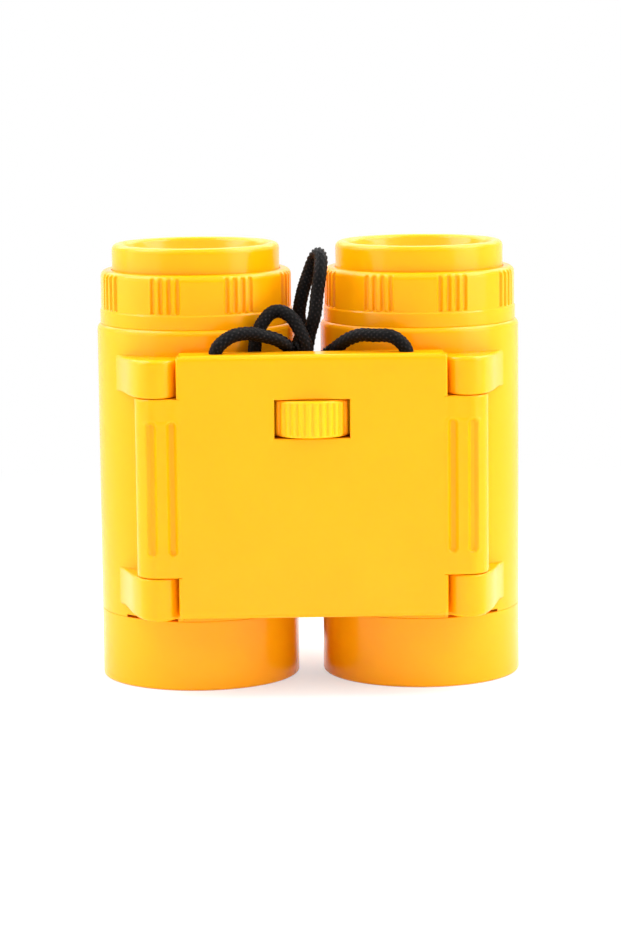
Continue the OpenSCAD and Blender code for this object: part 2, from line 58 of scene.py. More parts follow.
class Side(Enum):
    """Left or right half of the binoculars, seen from the bridge's front."""

    LEFT = -1
    RIGHT = 1

    @property
    def word(self) -> str:
        """The side's name as it starts the node names."""
        return self.name.lower()


class Shape(NamedTuple):
    """A mesh in millimetres: its points as an (n, 3) array and its faces as index lists."""

    points: np.ndarray
    faces: list[list[int]]


class Finish(NamedTuple):
    """A material and the name of a slot in the record, which this script does not fill."""

    material: bpy.types.Material
    slot: str


# Curves and outlines


def unit(vectors: np.ndarray) -> np.ndarray:
    """Vectors of length one along the last axis."""
    return vectors / np.linalg.norm(vectors, axis=-1, keepdims=True)


def smooth_rise(start: float, end: float, value: np.ndarray) -> np.ndarray:
    """Rises from 0 at start to 1 at end as 3t^2 - 2t^3."""
    t = np.clip((value - start) / (end - start), 0.0, 1.0)
    return t * t * (3.0 - 2.0 * t)


def edge_drop(distance: np.ndarray, radius: np.ndarray | float) -> np.ndarray:
    """Depth of a quarter-round edge below its face.

    At a distance d inside the edge the depth is r - sqrt(r^2 - (r - d)^2), and zero past r.

    Args:
        distance: distances inside the edge.
        radius: radius of the rounding.

    Returns:
        The depths, in the same unit.
    """
    left = np.clip(radius - distance, 0.0, radius)
    return radius - np.sqrt(np.maximum(radius**2 - left**2, 0.0))


def rounded(corners: Sequence[Sequence[float]], radii: Sequence[float] | float, steps: int = 5) -> np.ndarray:
    """Closed outline whose corners are replaced by arcs.

    With h half the angle at a corner, the arc of radius r has its centre r / sin h along the bisector and
    its ends r / tan h along both sides, and the points between turn evenly from one end to the other.

    Args:
        corners: corner points in order.
        radii: one radius for each corner, or one for all.
        steps: pieces of each arc.

    Returns:
        An (n, 2) array of points.
    """
    corner = np.asarray(corners, float)
    radius = np.broadcast_to(np.asarray(radii, float), len(corner))
    back = unit(np.roll(corner, 1, 0) - corner)
    ahead = unit(np.roll(corner, -1, 0) - corner)
    half = 0.5 * np.arccos(np.clip((back * ahead).sum(1), -1.0, 1.0))
    centre = corner + unit(back + ahead) * (radius / np.sin(half))[:, None]
    first = corner + back * (radius / np.tan(half))[:, None] - centre
    last = corner + ahead * (radius / np.tan(half))[:, None] - centre
    sweep = (np.pi - 2.0 * half)[:, None]
    t = np.linspace(0.0, 1.0, steps + 1)[None, :]
    from_first = (np.sin((1.0 - t) * sweep) / np.sin(sweep))[..., None]
    from_last = (np.sin(t * sweep) / np.sin(sweep))[..., None]
    return (centre[:, None] + from_first * first[:, None] + from_last * last[:, None]).reshape(-1, 2)


def arc(centre: Sequence[float], radius: float, start: float, end: float, steps: int) -> np.ndarray:
    """Points centre + r (cos a, sin a) with a running evenly from start to end, in radians."""
    a = np.linspace(start, end, steps + 1)
    return np.asarray(centre) + radius * np.stack([np.cos(a), np.sin(a)], -1)


def along(path: np.ndarray, shares: np.ndarray) -> np.ndarray:
    """Points at the given shares of a polyline's length, between its own points in a straight line."""
    length = np.concatenate([[0.0], np.cumsum(np.linalg.norm(np.diff(path, axis=0), axis=1))])
    return np.stack([np.interp(shares * length[-1], length, column) for column in path.T], -1)


def outline_normals(outline: np.ndarray) -> np.ndarray:
    """Outward normals of a closed counter-clockwise outline, from the two neighbours of each point."""
    ahead = unit(np.roll(outline, -1, 0) - np.roll(outline, 1, 0))
    return np.stack([ahead[:, 1], -ahead[:, 0]], -1)


def section(rows: Sequence[Sequence[float]], steps: int = 5) -> np.ndarray:
    """Rounded (r, z) outline from rows that hold a corner's radius, its height and its own rounding."""
    table = np.array(rows, float)
    return rounded(table[:, :2], table[:, 2], steps)


def rectangle(
    low: Sequence[float], high: Sequence[float], radii: Sequence[float] | float, steps: int = 5
) -> np.ndarray:
    """Rounded rectangle between two corners, counter-clockwise from the lower one."""
    return rounded([low, (high[0], low[1]), high, (low[0], high[1])], radii, steps)


def row(x: Sequence[float], y: float) -> np.ndarray:
    """Points (x, y) at these x and all at one y."""
    return np.stack([np.asarray(x, float), np.full(len(x), y)], -1)


def walled(outline: np.ndarray, radius: float, heights: np.ndarray) -> np.ndarray:
    """Adds points on the outer wall of a section, before its first point above the lowest of them.

    Args:
        outline: (r, z) section that runs up its outer wall.
        radius: the wall's radius.
        heights: heights of the new points, from the bottom up.

    Returns:
        The section with the points in place.
    """
    split = int(np.argmax(outline[:, 1] > heights[0]))
    wall = np.stack([np.full(len(heights), radius), heights], -1)
    return np.concatenate([outline[:split], wall, outline[split:]])


def dome(reach: float, crown: float, steps: int) -> tuple[np.ndarray, np.ndarray]:
    """Circle's arc over a flat rim, on a ball of radius (reach^2 + crown^2) / (2 crown).

    Args:
        reach: radius of the rim.
        crown: height of the middle above the rim.
        steps: points of the arc.

    Returns:
        Radii from near the middle out to the rim, and the heights above the rim there.
    """
    ball_r = (reach**2 + crown**2) / (2.0 * crown)
    r = np.linspace(reach / steps, reach, steps)
    return r, np.sqrt(ball_r**2 - r**2) - ball_r + crown


# Surfaces


def grid_quads(rows: int, columns: int, wrap_rows: bool, wrap_columns: bool) -> np.ndarray:
    """Quads of a grid of points counted row by row, joined round where it wraps.

    Args:
        rows: number of rows.
        columns: number of columns.
        wrap_rows: the last row joins the first.
        wrap_columns: the last column joins the first.

    Returns:
        An (n, 4) array of point indices.
    """
    i, k = np.meshgrid(
        np.arange(rows if wrap_rows else rows - 1),
        np.arange(columns if wrap_columns else columns - 1),
        indexing="ij",
    )
    above, beside = (i + 1) % rows, (k + 1) % columns
    corners = [i * columns + k, i * columns + beside, above * columns + beside, above * columns + k]
    return np.stack(corners, -1).reshape(-1, 4)


def even_angles(count: int) -> np.ndarray:
    """Angles around a full turn, in radians, the last one left out."""
    return np.arange(count) * (2.0 * np.pi / count)


def spun(profile: np.ndarray, angles: np.ndarray, relief: np.ndarray | float) -> np.ndarray:
    """Grid of points of a profile carried round the Z axis.

    Point (i, k) is ((r_i + relief_ik) cos a_k, (r_i + relief_ik) sin a_k, z_i).

    Args:
        profile: (r, z) points.
        angles: angles of the columns.
        relief: what each grid point adds to its radius.

    Returns:
        A (rows, columns, 3) array.
    """
    radius = profile[:, :1] + np.zeros(len(angles)) + relief
    height = np.broadcast_to(profile[:, 1:], radius.shape)
    return np.stack([radius * np.cos(angles), radius * np.sin(angles), height], -1)


def revolved(profile: np.ndarray, angles: np.ndarray, relief: np.ndarray | float = 0.0) -> Shape:
    """Ring-shaped solid: a closed counter-clockwise (r, z) section spun clear of the axis."""
    points = spun(profile, angles, relief)
    return Shape(points.reshape(-1, 3), grid_quads(*points.shape[:2], True, True).tolist())


def turned(profile: np.ndarray, angles: np.ndarray, relief: np.ndarray | float = 0.0) -> Shape:
    """Solid of revolution with a pole in the middle of its first and of its last ring.

    Args:
        profile: (r, z) points from the bottom pole outwards and up to the top pole, poles left out.
        angles: angles of the columns.
        relief: what each grid point adds to its radius.

    Returns:
        The closed solid.
    """
    rows, columns = len(profile), len(angles)
    poles = np.array([[0.0, 0.0, profile[0, 1]], [0.0, 0.0, profile[-1, 1]]])
    points = np.concatenate([spun(profile, angles, relief).reshape(-1, 3), poles])
    k = np.arange(columns)
    ahead = (k + 1) % columns
    top = (rows - 1) * columns
    low = np.stack([np.full(columns, rows * columns), ahead, k], -1)
    high = np.stack([np.full(columns, rows * columns + 1), top + k, top + ahead], -1)
    quads = grid_quads(rows, columns, False, True)
    return Shape(points, quads.tolist() + low.tolist() + high.tolist())


def lifted(plans: np.ndarray, heights: np.ndarray) -> np.ndarray:
    """Rings of (x, y) points, each at its own height, as (x, y, z)."""
    return np.concatenate([plans, np.broadcast_to(heights[:, None, None], plans.shape[:2] + (1,))], -1)


def stacked(rings: np.ndarray) -> Shape:
    """Solid through rings of points stacked in order, with a flat face at both ends.

    Args:
        rings: a (rows, columns, 3) array, each ring counter-clockwise seen from the last.

    Returns:
        The closed solid.
    """
    rows, columns = rings.shape[:2]
    first, last = list(range(columns)), list(range((rows - 1) * columns, rows * columns))
    faces = grid_quads(rows, columns, False, True).tolist()
    return Shape(rings.reshape(-1, 3), faces + [first[::-1], last])


def rounded_prism(
    outline: np.ndarray, ends: Sequence[float], fillets: Sequence[float], share: np.ndarray, steps: int = 5
) -> Shape:
    """Outline carried up the Z axis, drawn in at both ends by a quarter round.

    A ring at the angle a of the round lies s f (1 - sin a) inside the outline, with s the point's share, and
    f (1 - cos a) from the end.

    Args:
        outline: closed counter-clockwise (x, y) outline.
        ends: heights of the bottom and the top face.
        fillets: radii of the bottom and the top edge.
        share: how much of the rounding each outline point gets.
        steps: pieces of each quarter round.

    Returns:
        The closed solid.
    """
    a = np.linspace(0.0, np.pi / 2.0, steps + 1)
    inset, rise = 1.0 - np.sin(a), 1.0 - np.cos(a)
    insets = np.concatenate([fillets[0] * inset, fillets[1] * inset[::-1]])
    heights = np.concatenate([ends[0] + fillets[0] * rise, ends[1] - fillets[1] * rise[::-1]])
    plans = outline - (insets[:, None] * share)[..., None] * outline_normals(outline)
    return stacked(lifted(plans, heights))


def block(low: Sequence[float], high: Sequence[float]) -> Shape:
    """Plain box between two corners, used only to cut with."""
    plan = [[low[0], low[1]], [high[0], low[1]], [high[0], high[1]], [low[0], high[1]]]
    return stacked(lifted(np.array([plan, plan], float), np.array([low[2], high[2]], float)))


def bar(radius: float, low: float, high: float, columns: int = 48) -> Shape:
    """Round bar on the Z axis, used to cut bores."""
    return turned(np.array([[radius, low], [radius, high]]), even_angles(columns))


def moved(shape: Shape, by: Sequence[float]) -> Shape:
    """The same shape shifted by a vector."""
    return Shape(shape.points + np.asarray(by, float), shape.faces)


# Pieces in the scene


def node_box(name: str) -> tuple[np.ndarray, np.ndarray]:
    """Lowest and highest corner of a CAD node in millimetres."""
    low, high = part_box(name)
    return np.array(low) / MM, np.array(high) / MM


def mesh_object(name: str, shape: Shape) -> bpy.types.Object:
    """Puts a shape into the scene as an object at the origin, scaled to metres.

    Args:
        name: name of the object and of its mesh.
        shape: the shape in millimetres.

    Returns:
        The object.
    """
    mesh = bpy.data.meshes.new(name)
    mesh.from_pydata((shape.points * MM).tolist(), [], shape.faces)
    mesh.update()
    made = bpy.data.objects.new(name, mesh)
    bpy.context.scene.collection.objects.link(made)
    return made


def carve(piece: bpy.types.Object, tool: Shape, operation: str = "DIFFERENCE") -> None:
    """Cuts a shape out of a piece, or fuses it on, and keeps the result as the piece's own mesh.

    Args:
        piece: object whose mesh is replaced.
        tool: closed shape to cut or fuse with.
        operation: the boolean modifier's operation.
    """
    cutter = mesh_object(piece.name + "_tool", tool)
    change = piece.modifiers.new("carve", "BOOLEAN")
    change.operation = operation
    change.solver = "MANIFOLD"
    change.object = cutter
    evaluated = piece.evaluated_get(bpy.context.evaluated_depsgraph_get())
    old = piece.data
    fresh = bpy.data.meshes.new_from_object(evaluated)
    piece.modifiers.clear()
    piece.data = fresh
    fresh.name = piece.name
    bpy.data.meshes.remove(old)
    bpy.data.meshes.remove(cutter.data)


def dress(
    piece: bpy.types.Object, finish: Finish, body: str, nodes: Sequence[str], crease: float = 32.0
) -> bpy.types.Object:
    """Gives a piece its shading, finish and place in the frame, and reports it.

    Args:
        piece: the finished object.
        finish: its material and slot.
        body: CAD body that it rides on.
        nodes: CAD nodes that it stands for.
        crease: angle in degrees past which an edge stays sharp.

    Returns:
        The same object.
    """
    piece.data.materials.clear()
    piece.data.materials.append(finish.material)
    piece.data.shade_smooth()
    piece.data.set_sharp_from_angle(angle=math.radians(crease))
    weights = piece.modifiers.new("even_normals", "WEIGHTED_NORMAL")
    weights.keep_sharp = True
    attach(piece, body)
    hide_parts(*nodes)
    LOG.info("%s: %d faces on %s", piece.name, len(piece.data.polygons), body)
    return piece


# Finishes


class NodeSheet:
    """The shader nodes of one material or of the world."""

    NOISE_MIDDLE = (0.3, 0.7)

    def __init__(self, tree: bpy.types.NodeTree, output: str) -> None:
        """Empties a node tree and gives it its output.

        Args:
            tree: the tree of a material or of the world.
            output: the output node's type.
        """
        self.tree = tree
        self.tree.nodes.clear()
        self.output = self.tree.nodes.new(output)

    @classmethod
    def named(cls, name: str) -> "NodeSheet":
        """Starts a new material.

        Args:
            name: the material's name.

        Returns:
            Its empty sheet.
        """
        material = bpy.data.materials.new(name)
        material.use_nodes = True
        return cls(material.node_tree, "ShaderNodeOutputMaterial")

    def add(self, kind: str, inputs: dict | None = None, **settings: object) -> bpy.types.Node:
        """Adds a node, with constants and links on its inputs.

        Args:
            kind: the node's type.
            inputs: value or output socket for each input, by name or number.
            settings: properties of the node.

        Returns:
            The node.
        """
        node = self.tree.nodes.new(kind)
        for key, value in settings.items():
            setattr(node, key, value)
        for key, value in (inputs or {}).items():
            if isinstance(value, bpy.types.NodeSocket):
                self.tree.links.new(value, node.inputs[key])
            else:
                node.inputs[key].default_value = value
        return node

    def place(self) -> bpy.types.NodeSocket:
        """Object coordinates of the surface."""
        return self.add("ShaderNodeTexCoord").outputs["Object"]

    def noise(self, place: bpy.types.NodeSocket, scale: float, detail: float = 2.0) -> bpy.types.NodeSocket:
        """Noise between 0 and 1 at so many cells a metre."""
        node = self.add("ShaderNodeTexNoise", {"Vector": place, "Scale": scale, "Detail": detail})
        return node.outputs["Fac"]

    def ranged(self, value: bpy.types.NodeSocket, low: float, high: float) -> bpy.types.NodeSocket:
        """Spreads the middle of a noise over a range.

        Args:
            value: the noise.
            low: where the middle starts.
            high: where it ends.

        Returns:
            The spread value.
        """
        start, end = self.NOISE_MIDDLE
        inputs = {"Value": value, "From Min": start, "From Max": end, "To Min": low, "To Max": high}
        return self.add("ShaderNodeMapRange", inputs).outputs["Result"]

    def blend(self, share: bpy.types.NodeSocket, first: Sequence, second: Sequence) -> bpy.types.NodeSocket:
        """Mixes two colours."""
        node = self.add("ShaderNodeMix", {0: share, 6: (*first, 1.0), 7: (*second, 1.0)}, data_type="RGBA")
        return node.outputs[2]

    def bump(self, height: bpy.types.NodeSocket, strength: float, depth: float) -> bpy.types.NodeSocket:
        """Normal of a relief of the given depth in metres."""
        node = self.add("ShaderNodeBump", {"Height": height, "Strength": strength, "Distance": depth})
        return node.outputs["Normal"]

    def larger(self, first: bpy.types.NodeSocket, second: bpy.types.NodeSocket) -> bpy.types.NodeSocket:
        """The larger of two values."""
        return self.add("ShaderNodeMath", {0: first, 1: second}, operation="MAXIMUM").outputs[0]

    def finish(self, shader: bpy.types.Node) -> bpy.types.Material | None:
        """Connects the shader and returns the material that owns the tree, if it is a material's."""
        self.tree.links.new(shader.outputs[0], self.output.inputs["Surface"])
        return next((m for m in bpy.data.materials if m.node_tree == self.tree), None)

    def principled(self, inputs: dict) -> bpy.types.Material:
        """Connects a principled shader with these inputs and returns the material."""
        return self.finish(self.add("ShaderNodeBsdfPrincipled", inputs))

    def eased(
        self, value: bpy.types.NodeSocket, ends: Sequence[float], low: float, high: float = 1.0
    ) -> bpy.types.NodeSocket:
        """Runs smoothly from low to high while the value runs from one end to the other."""
        inputs = {"Value": value, "From Min": ends[0], "From Max": ends[1], "To Min": low, "To Max": high}
        return self.add("ShaderNodeMapRange", inputs, interpolation_type="SMOOTHSTEP").outputs["Result"]

    def rays(self) -> tuple[bpy.types.NodeSocket, bpy.types.NodeSocket]:
        """Whether a ray comes from the camera, and whether a glossy or clear surface sent it."""
        path = self.add("ShaderNodeLightPath").outputs
        return path["Is Camera Ray"], self.larger(path["Is Glossy Ray"], path["Is Transmission Ray"])


@dataclass(frozen=True)
class MouldedPlastic:
    """Injection-moulded plastic: flow clouds in the colour, uneven gloss and a fine mould texture.

    Here and in the other finishes a scale is in cells a metre and a depth in metres.
    """

    name: str
    colour: tuple[float, float, float]
    cloud: tuple[float, float, float]
    gloss: tuple[float, float] = (0.15, 0.22)
    glow: float = 0.0
    ior: float = 1.5
    specular: float = 0.22
    cloud_scale: float = 70.0
    gloss_scale: float = 260.0
    grain_scale: float = 3600.0
    grain_strength: float = 0.03
    grain_depth: float = 0.00005
    glow_spread: tuple[float, float, float] = (1.0, 0.35, 0.06)
    glow_depth: float = 0.0012

    def material(self) -> bpy.types.Material:
        """Builds the material from noise on Object coordinates.

        Returns:
            The material.
        """
        sheet = NodeSheet.named(self.name)
        place = sheet.place()
        clouds = sheet.ranged(sheet.noise(place, self.cloud_scale), 0.0, 1.0)
        grain = sheet.noise(place, self.grain_scale, 2.0)
        return sheet.principled(
            {
                "Base Color": sheet.blend(clouds, self.colour, self.cloud),
                "Roughness": sheet.ranged(sheet.noise(place, self.gloss_scale, 3.0), *self.gloss),
                "Normal": sheet.bump(grain, self.grain_strength, self.grain_depth),
                "IOR": self.ior,
                "Specular IOR Level": self.specular,
                "Subsurface Weight": self.glow,
                "Subsurface Radius": self.glow_spread,
                "Subsurface Scale": self.glow_depth,
            }
        )


@dataclass(frozen=True)
class ClearPlastic:
    """Clear moulded lens with a faint cool tint."""

    name: str
    tint: tuple[float, float, float] = (0.93, 0.97, 1.0)
    ior: float = 1.49
    polish: tuple[float, float] = (0.01, 0.04)
    polish_scale: float = 180.0

    def material(self) -> bpy.types.Material:
        """Builds a smooth transmitting shader with slightly uneven polish.

        Returns:
            The material.
        """
        sheet = NodeSheet.named(self.name)
        return sheet.principled(
            {
                "Base Color": (*self.tint, 1.0),
                "Roughness": sheet.ranged(sheet.noise(sheet.place(), self.polish_scale), *self.polish),
                "IOR": self.ior,
                "Transmission Weight": 1.0,
            }
        )


@dataclass(frozen=True)
class BrightSteel:
    """Drawn and plated steel with fine lengthwise streaks."""

    name: str
    dull: tuple[float, float, float] = (0.62, 0.63, 0.65)
    bright: tuple[float, float, float] = (0.78, 0.78, 0.79)
    roughness: tuple[float, float] = (0.2, 0.38)
    stretch: tuple[float, float, float] = (9.0, 9.0, 1.0)
    streak_scale: float = 700.0

    def material(self) -> bpy.types.Material:
        """Builds a metal whose roughness follows noise stretched along the height.

        Returns:
            The material.
        """
        sheet = NodeSheet.named(self.name)
        stretched = sheet.add("ShaderNodeMapping", {"Vector": sheet.place(), "Scale": self.stretch})
        streaks = sheet.noise(stretched.outputs["Vector"], self.streak_scale, 3.0)
        return sheet.principled(
            {
                "Base Color": sheet.blend(streaks, self.dull, self.bright),
                "Metallic": 1.0,
                "Roughness": sheet.ranged(streaks, *self.roughness),
            }
        )


@dataclass(frozen=True)
class BraidedYarn:
    """Black polyester braid with fine filaments across the picks and a soft sheen; its colour paints shade
    between the picks and a highlight on them.
    """

    name: str
    # painted shade: the colour between the picks
    hollow: tuple[float, float, float] = (0.0006, 0.0003, 0.0003)
    # painted highlight: the colour on the picks' crests
    crest: tuple[float, float, float] = (0.045, 0.036, 0.038)
    roughness: tuple[float, float] = (0.38, 0.55)
    specular: float = 0.13
    # pick height where the painted highlight starts to rise
    crest_from: float = 0.55
    filaments: float = 170.0
    filament_slant: float = 0.7
    filament_waver: float = 1.2
    filament_strength: float = 0.35
    filament_depth: float = 0.00005
    fuzz_scale: float = 2600.0

    def material(self) -> bpy.types.Material:
        """Builds the yarn from the piece's own map, where U runs round the braid and V along it.

        Returns:
            The material.
        """
        sheet = NodeSheet.named(self.name)
        turns = sheet.add("ShaderNodeUVMap", uv_map="braid").outputs["UV"]
        lay = sheet.add("ShaderNodeAttribute", attribute_name="pick").outputs["Fac"]
        slant = sheet.add("ShaderNodeMapping", {"Vector": turns, "Rotation": (0.0, 0.0, self.filament_slant)})
        waves = {"Vector": slant.outputs["Vector"], "Scale": self.filaments, "Detail": 1.0}
        strands = sheet.add("ShaderNodeTexWave", waves | {"Distortion": self.filament_waver}).outputs["Fac"]
        fuzz = sheet.noise(sheet.place(), self.fuzz_scale, 3.0)
        # painted light: the pick height runs the colour from painted shade in the hollows to a painted
        # highlight on the crests, and the fuzz adds random mottling
        crown = sheet.add("ShaderNodeMapRange", {"Value": lay, "From Min": self.crest_from}).outputs["Result"]
        tone = sheet.add("ShaderNodeMath", {0: crown, 1: sheet.ranged(fuzz, 0.0, 1.0)}, operation="MULTIPLY")
        return sheet.principled(
            {
                "Base Color": sheet.blend(tone.outputs[0], self.hollow, self.crest),
                "Roughness": sheet.ranged(fuzz, *self.roughness),
                "Normal": sheet.bump(strands, self.filament_strength, self.filament_depth),
                "Specular IOR Level": self.specular,
            }
        )


@dataclass(frozen=True)
class RubberBand:
    """Soft matt black strap with a ribbed face."""

    name: str
    dark: tuple[float, float, float] = (0.012, 0.012, 0.013)
    worn: tuple[float, float, float] = (0.028, 0.028, 0.03)
    roughness: tuple[float, float] = (0.6, 0.75)
    rib_scale: float = 420.0
    rib_depth: float = 0.0001
    rib_waver: float = 0.3
    rib_strength: float = 0.3
    wear_scale: float = 900.0

    def material(self) -> bpy.types.Material:
        """Builds a matt black with fine ribs on Object coordinates.

        Returns:
            The material.
        """
        sheet = NodeSheet.named(self.name)
        place = sheet.place()
        waves = {"Vector": place, "Scale": self.rib_scale, "Distortion": self.rib_waver}
        ribs = sheet.add("ShaderNodeTexWave", waves, bands_direction="Z")
        wear = sheet.ranged(sheet.noise(place, self.wear_scale, 3.0), 0.0, 1.0)
        return sheet.principled(
            {
                "Base Color": sheet.blend(wear, self.dark, self.worn),
                "Roughness": sheet.ranged(wear, *self.roughness),
                "Normal": sheet.bump(ribs.outputs["Fac"], self.rib_strength, self.rib_depth),
            }
        )


@dataclass(frozen=True)
class Finishes:
    """The finishes of the toy, each with its slot of the record."""

    yellow: Finish
    # lighter copy of the yellow plastic: painted light that brightens the thumb wheel
    pale: Finish
    black: Finish
    steel: Finish
    lens: Finish
    cord: Finish
    tie: Finish

    @classmethod
    def mixed(cls) -> "Finishes":
        """Builds all of them.

        Returns:
            The finishes.
        """
        yellow = MouldedPlastic("yellow_plastic", (1.0, 0.4, 0.002), (0.98, 0.385, 0.0015), glow=0.15)
        # the same yellow plastic made lighter, as painted light for the thumb wheel
        pale = MouldedPlastic("pale_yellow_plastic", (1.0, 0.5, 0.008), (0.98, 0.48, 0.007), glow=0.15)
        black = MouldedPlastic("black_plastic", (0.012, 0.012, 0.013), (0.02, 0.02, 0.021), (0.35, 0.5))
        return cls(
            yellow=Finish(yellow.material(), "yellow_plastic"),
            pale=Finish(pale.material(), "yellow_plastic"),
            black=Finish(black.material(), "black_plastic"),
            steel=Finish(BrightSteel("bright_steel").material(), "steel"),
            lens=Finish(ClearPlastic("clear_lens").material(), "lens"),
            cord=Finish(BraidedYarn("braided_yarn").material(), "cord"),
            tie=Finish(RubberBand("rubber_band").material(), "tie"),
        )


# The studio


@dataclass(frozen=True)
class Softbox:
    """Soft rectangular lamp: its middle, its width and height in millimetres, and its power in watts."""

    name: str
    place: tuple[float, float, float]
    size: tuple[float, float]
    watts: float


@dataclass
class Studio:
    """Camera at the photograph's angle, pale floor, soft lamps and a white surround.

    Places and sizes are in millimetres, the focal length in pixels of the photograph and the floor's scale
    in cells a metre.
    """

    eye: tuple[float, float, float] = (-15.06, -667.83, 142.34)
    target: tuple[float, float, float] = (0.2, 4.7, 43.0)
    roll: float = math.radians(-0.62)
    focal_pixels: float = 3277.6
    image_height: float = 931.0
    sensor: float = 36.0
    clip: tuple[float, float] = (10.0, 50000.0)
    floor_half: float = 6000.0
    floor_glow: float = 0.55
    floor_fade: tuple[float, float] = (60.0, 300.0)
    floor_tones: tuple[float, float] = (0.9, 0.92)
    floor_scale: float = 30.0
    ambient: tuple[float, float] = (0.18, 0.7)
    mirrored: tuple[float, float] = (0.3, 1.0)
    front_to_back: tuple[float, float] = (-0.8, 0.2)
    softboxes: tuple[Softbox, ...] = (
        Softbox("left_softbox", (-740.0, -150.0, 340.0), (950.0, 760.0), 3.8),
        Softbox("right_softbox", (690.0, -300.0, 340.0), (560.0, 760.0), 4.6),
        Softbox("top_softbox", (0.0, -480.0, 720.0), (1300.0, 520.0), 2.2),
        Softbox("back_softbox", (0.0, 620.0, 650.0), (1400.0, 600.0), 5.2),
        Softbox("left_high_softbox", (-480.0, 60.0, 720.0), (500.0, 500.0), 5.0),
        Softbox("right_high_softbox", (480.0, 60.0, 720.0), (500.0, 500.0), 5.0),
    )

    def build(self) -> None:
        """Makes the camera, the lamps, the surround and the floor."""
        bpy.context.scene.view_settings.view_transform = "Standard"
        self.camera()
        for softbox in self.softboxes:
            self.lamp(softbox)
        self.surround()
        self.floor()

    def camera(self) -> None:
        """Stands the camera at the eye, looking at the target and rolled about the view."""
        data = bpy.data.cameras.new("photo_camera")
        data.sensor_width = self.sensor
        data.lens = self.sensor * self.focal_pixels / self.image_height
        data.clip_start, data.clip_end = (reach * MM for reach in self.clip)
        ahead = (Vector(self.target) - Vector(self.eye)).normalized()
        right = ahead.cross(Vector((0.0, 0.0, 1.0))).normalized()
        up = right.cross(ahead)
        across = right * math.cos(self.roll) + up * math.sin(self.roll)
        upward = up * math.cos(self.roll) - right * math.sin(self.roll)
        made = bpy.data.objects.new("photo_camera", data)
        bpy.context.scene.collection.objects.link(made)
        turn = Matrix((across, upward, -ahead)).transposed().to_4x4()
        made.matrix_world = Matrix.Translation(Vector(self.eye) * MM) @ turn
        bpy.context.scene.camera = made

    def lamp(self, softbox: Softbox) -> None:
        """Hangs a lamp that faces the toy and stays unseen by the camera.

        Args:
            softbox: its name, place, size and power.
        """
        data = bpy.data.lights.new(softbox.name, "AREA")
        data.shape = "RECTANGLE"
        data.size, data.size_y = (length * MM for length in softbox.size)
        data.energy = softbox.watts
        made = bpy.data.objects.new(softbox.name, data)
        made.visible_camera = False
        made.location = Vector(softbox.place) * MM
        towards = Vector(self.target) - Vector(softbox.place)
        made.rotation_euler = towards.to_track_quat("-Z", "Y").to_euler()
        bpy.context.scene.collection.objects.link(made)

    def surround(self) -> None:
        """White to the eye; for gloss and matt surfaces bright behind the toy and dim in front of it."""
        world = bpy.data.worlds.new("white_surround")
        world.use_nodes = True
        sheet = NodeSheet(world.node_tree, "ShaderNodeOutputWorld")
        seen, sharp = sheet.rays()
        towards = sheet.add("ShaderNodeTexCoord").outputs["Generated"]
        depth = sheet.add("ShaderNodeSeparateXYZ", {0: towards}).outputs["Y"]
        gloss = sheet.eased(depth, self.front_to_back, *self.mirrored)
        matt = sheet.eased(depth, self.front_to_back, *self.ambient)
        unseen = sheet.add("ShaderNodeMix", {0: sharp, 2: matt, 3: gloss}).outputs[0]
        level = sheet.add("ShaderNodeMix", {0: seen, 2: unseen, 3: 1.0}).outputs[0]
        sheet.finish(sheet.add("ShaderNodeBackground", {"Color": (1.0, 1.0, 1.0, 1.0), "Strength": level}))
        bpy.context.scene.world = world

    def floor(self) -> None:
        """Pale matt floor that holds the toy's shadow and turns to plain white further out."""
        half = self.floor_half
        corners = np.array([[-half, -half, 0.0], [half, -half, 0.0], [half, half, 0.0], [-half, half, 0.0]])
        made = mesh_object("pale_floor", Shape(corners, [[0, 1, 2, 3]]))
        sheet = NodeSheet.named("pale_floor")
        place = sheet.place()
        distance = sheet.add("ShaderNodeVectorMath", {0: place}, operation="LENGTH").outputs["Value"]
        share = sheet.eased(distance, [reach * MM for reach in self.floor_fade], self.floor_glow)
        grey, pale = ((tone, tone, tone) for tone in self.floor_tones)
        mottle = sheet.blend(sheet.noise(place, self.floor_scale), grey, pale)
        matt = sheet.add("ShaderNodeBsdfDiffuse", {"Color": mottle})
        white = sheet.add("ShaderNodeEmission", {"Color": (1.0, 1.0, 1.0, 1.0), "Strength": 1.0})
        factor = sheet.add("ShaderNodeMath", {0: share, 1: sheet.larger(*sheet.rays())}, operation="MULTIPLY")
        shaders = {0: factor.outputs[0], 1: matt.outputs[0], 2: white.outputs[0]}
        made.data.materials.append(sheet.finish(sheet.add("ShaderNodeMixShader", shaders)))


# The toy's layout


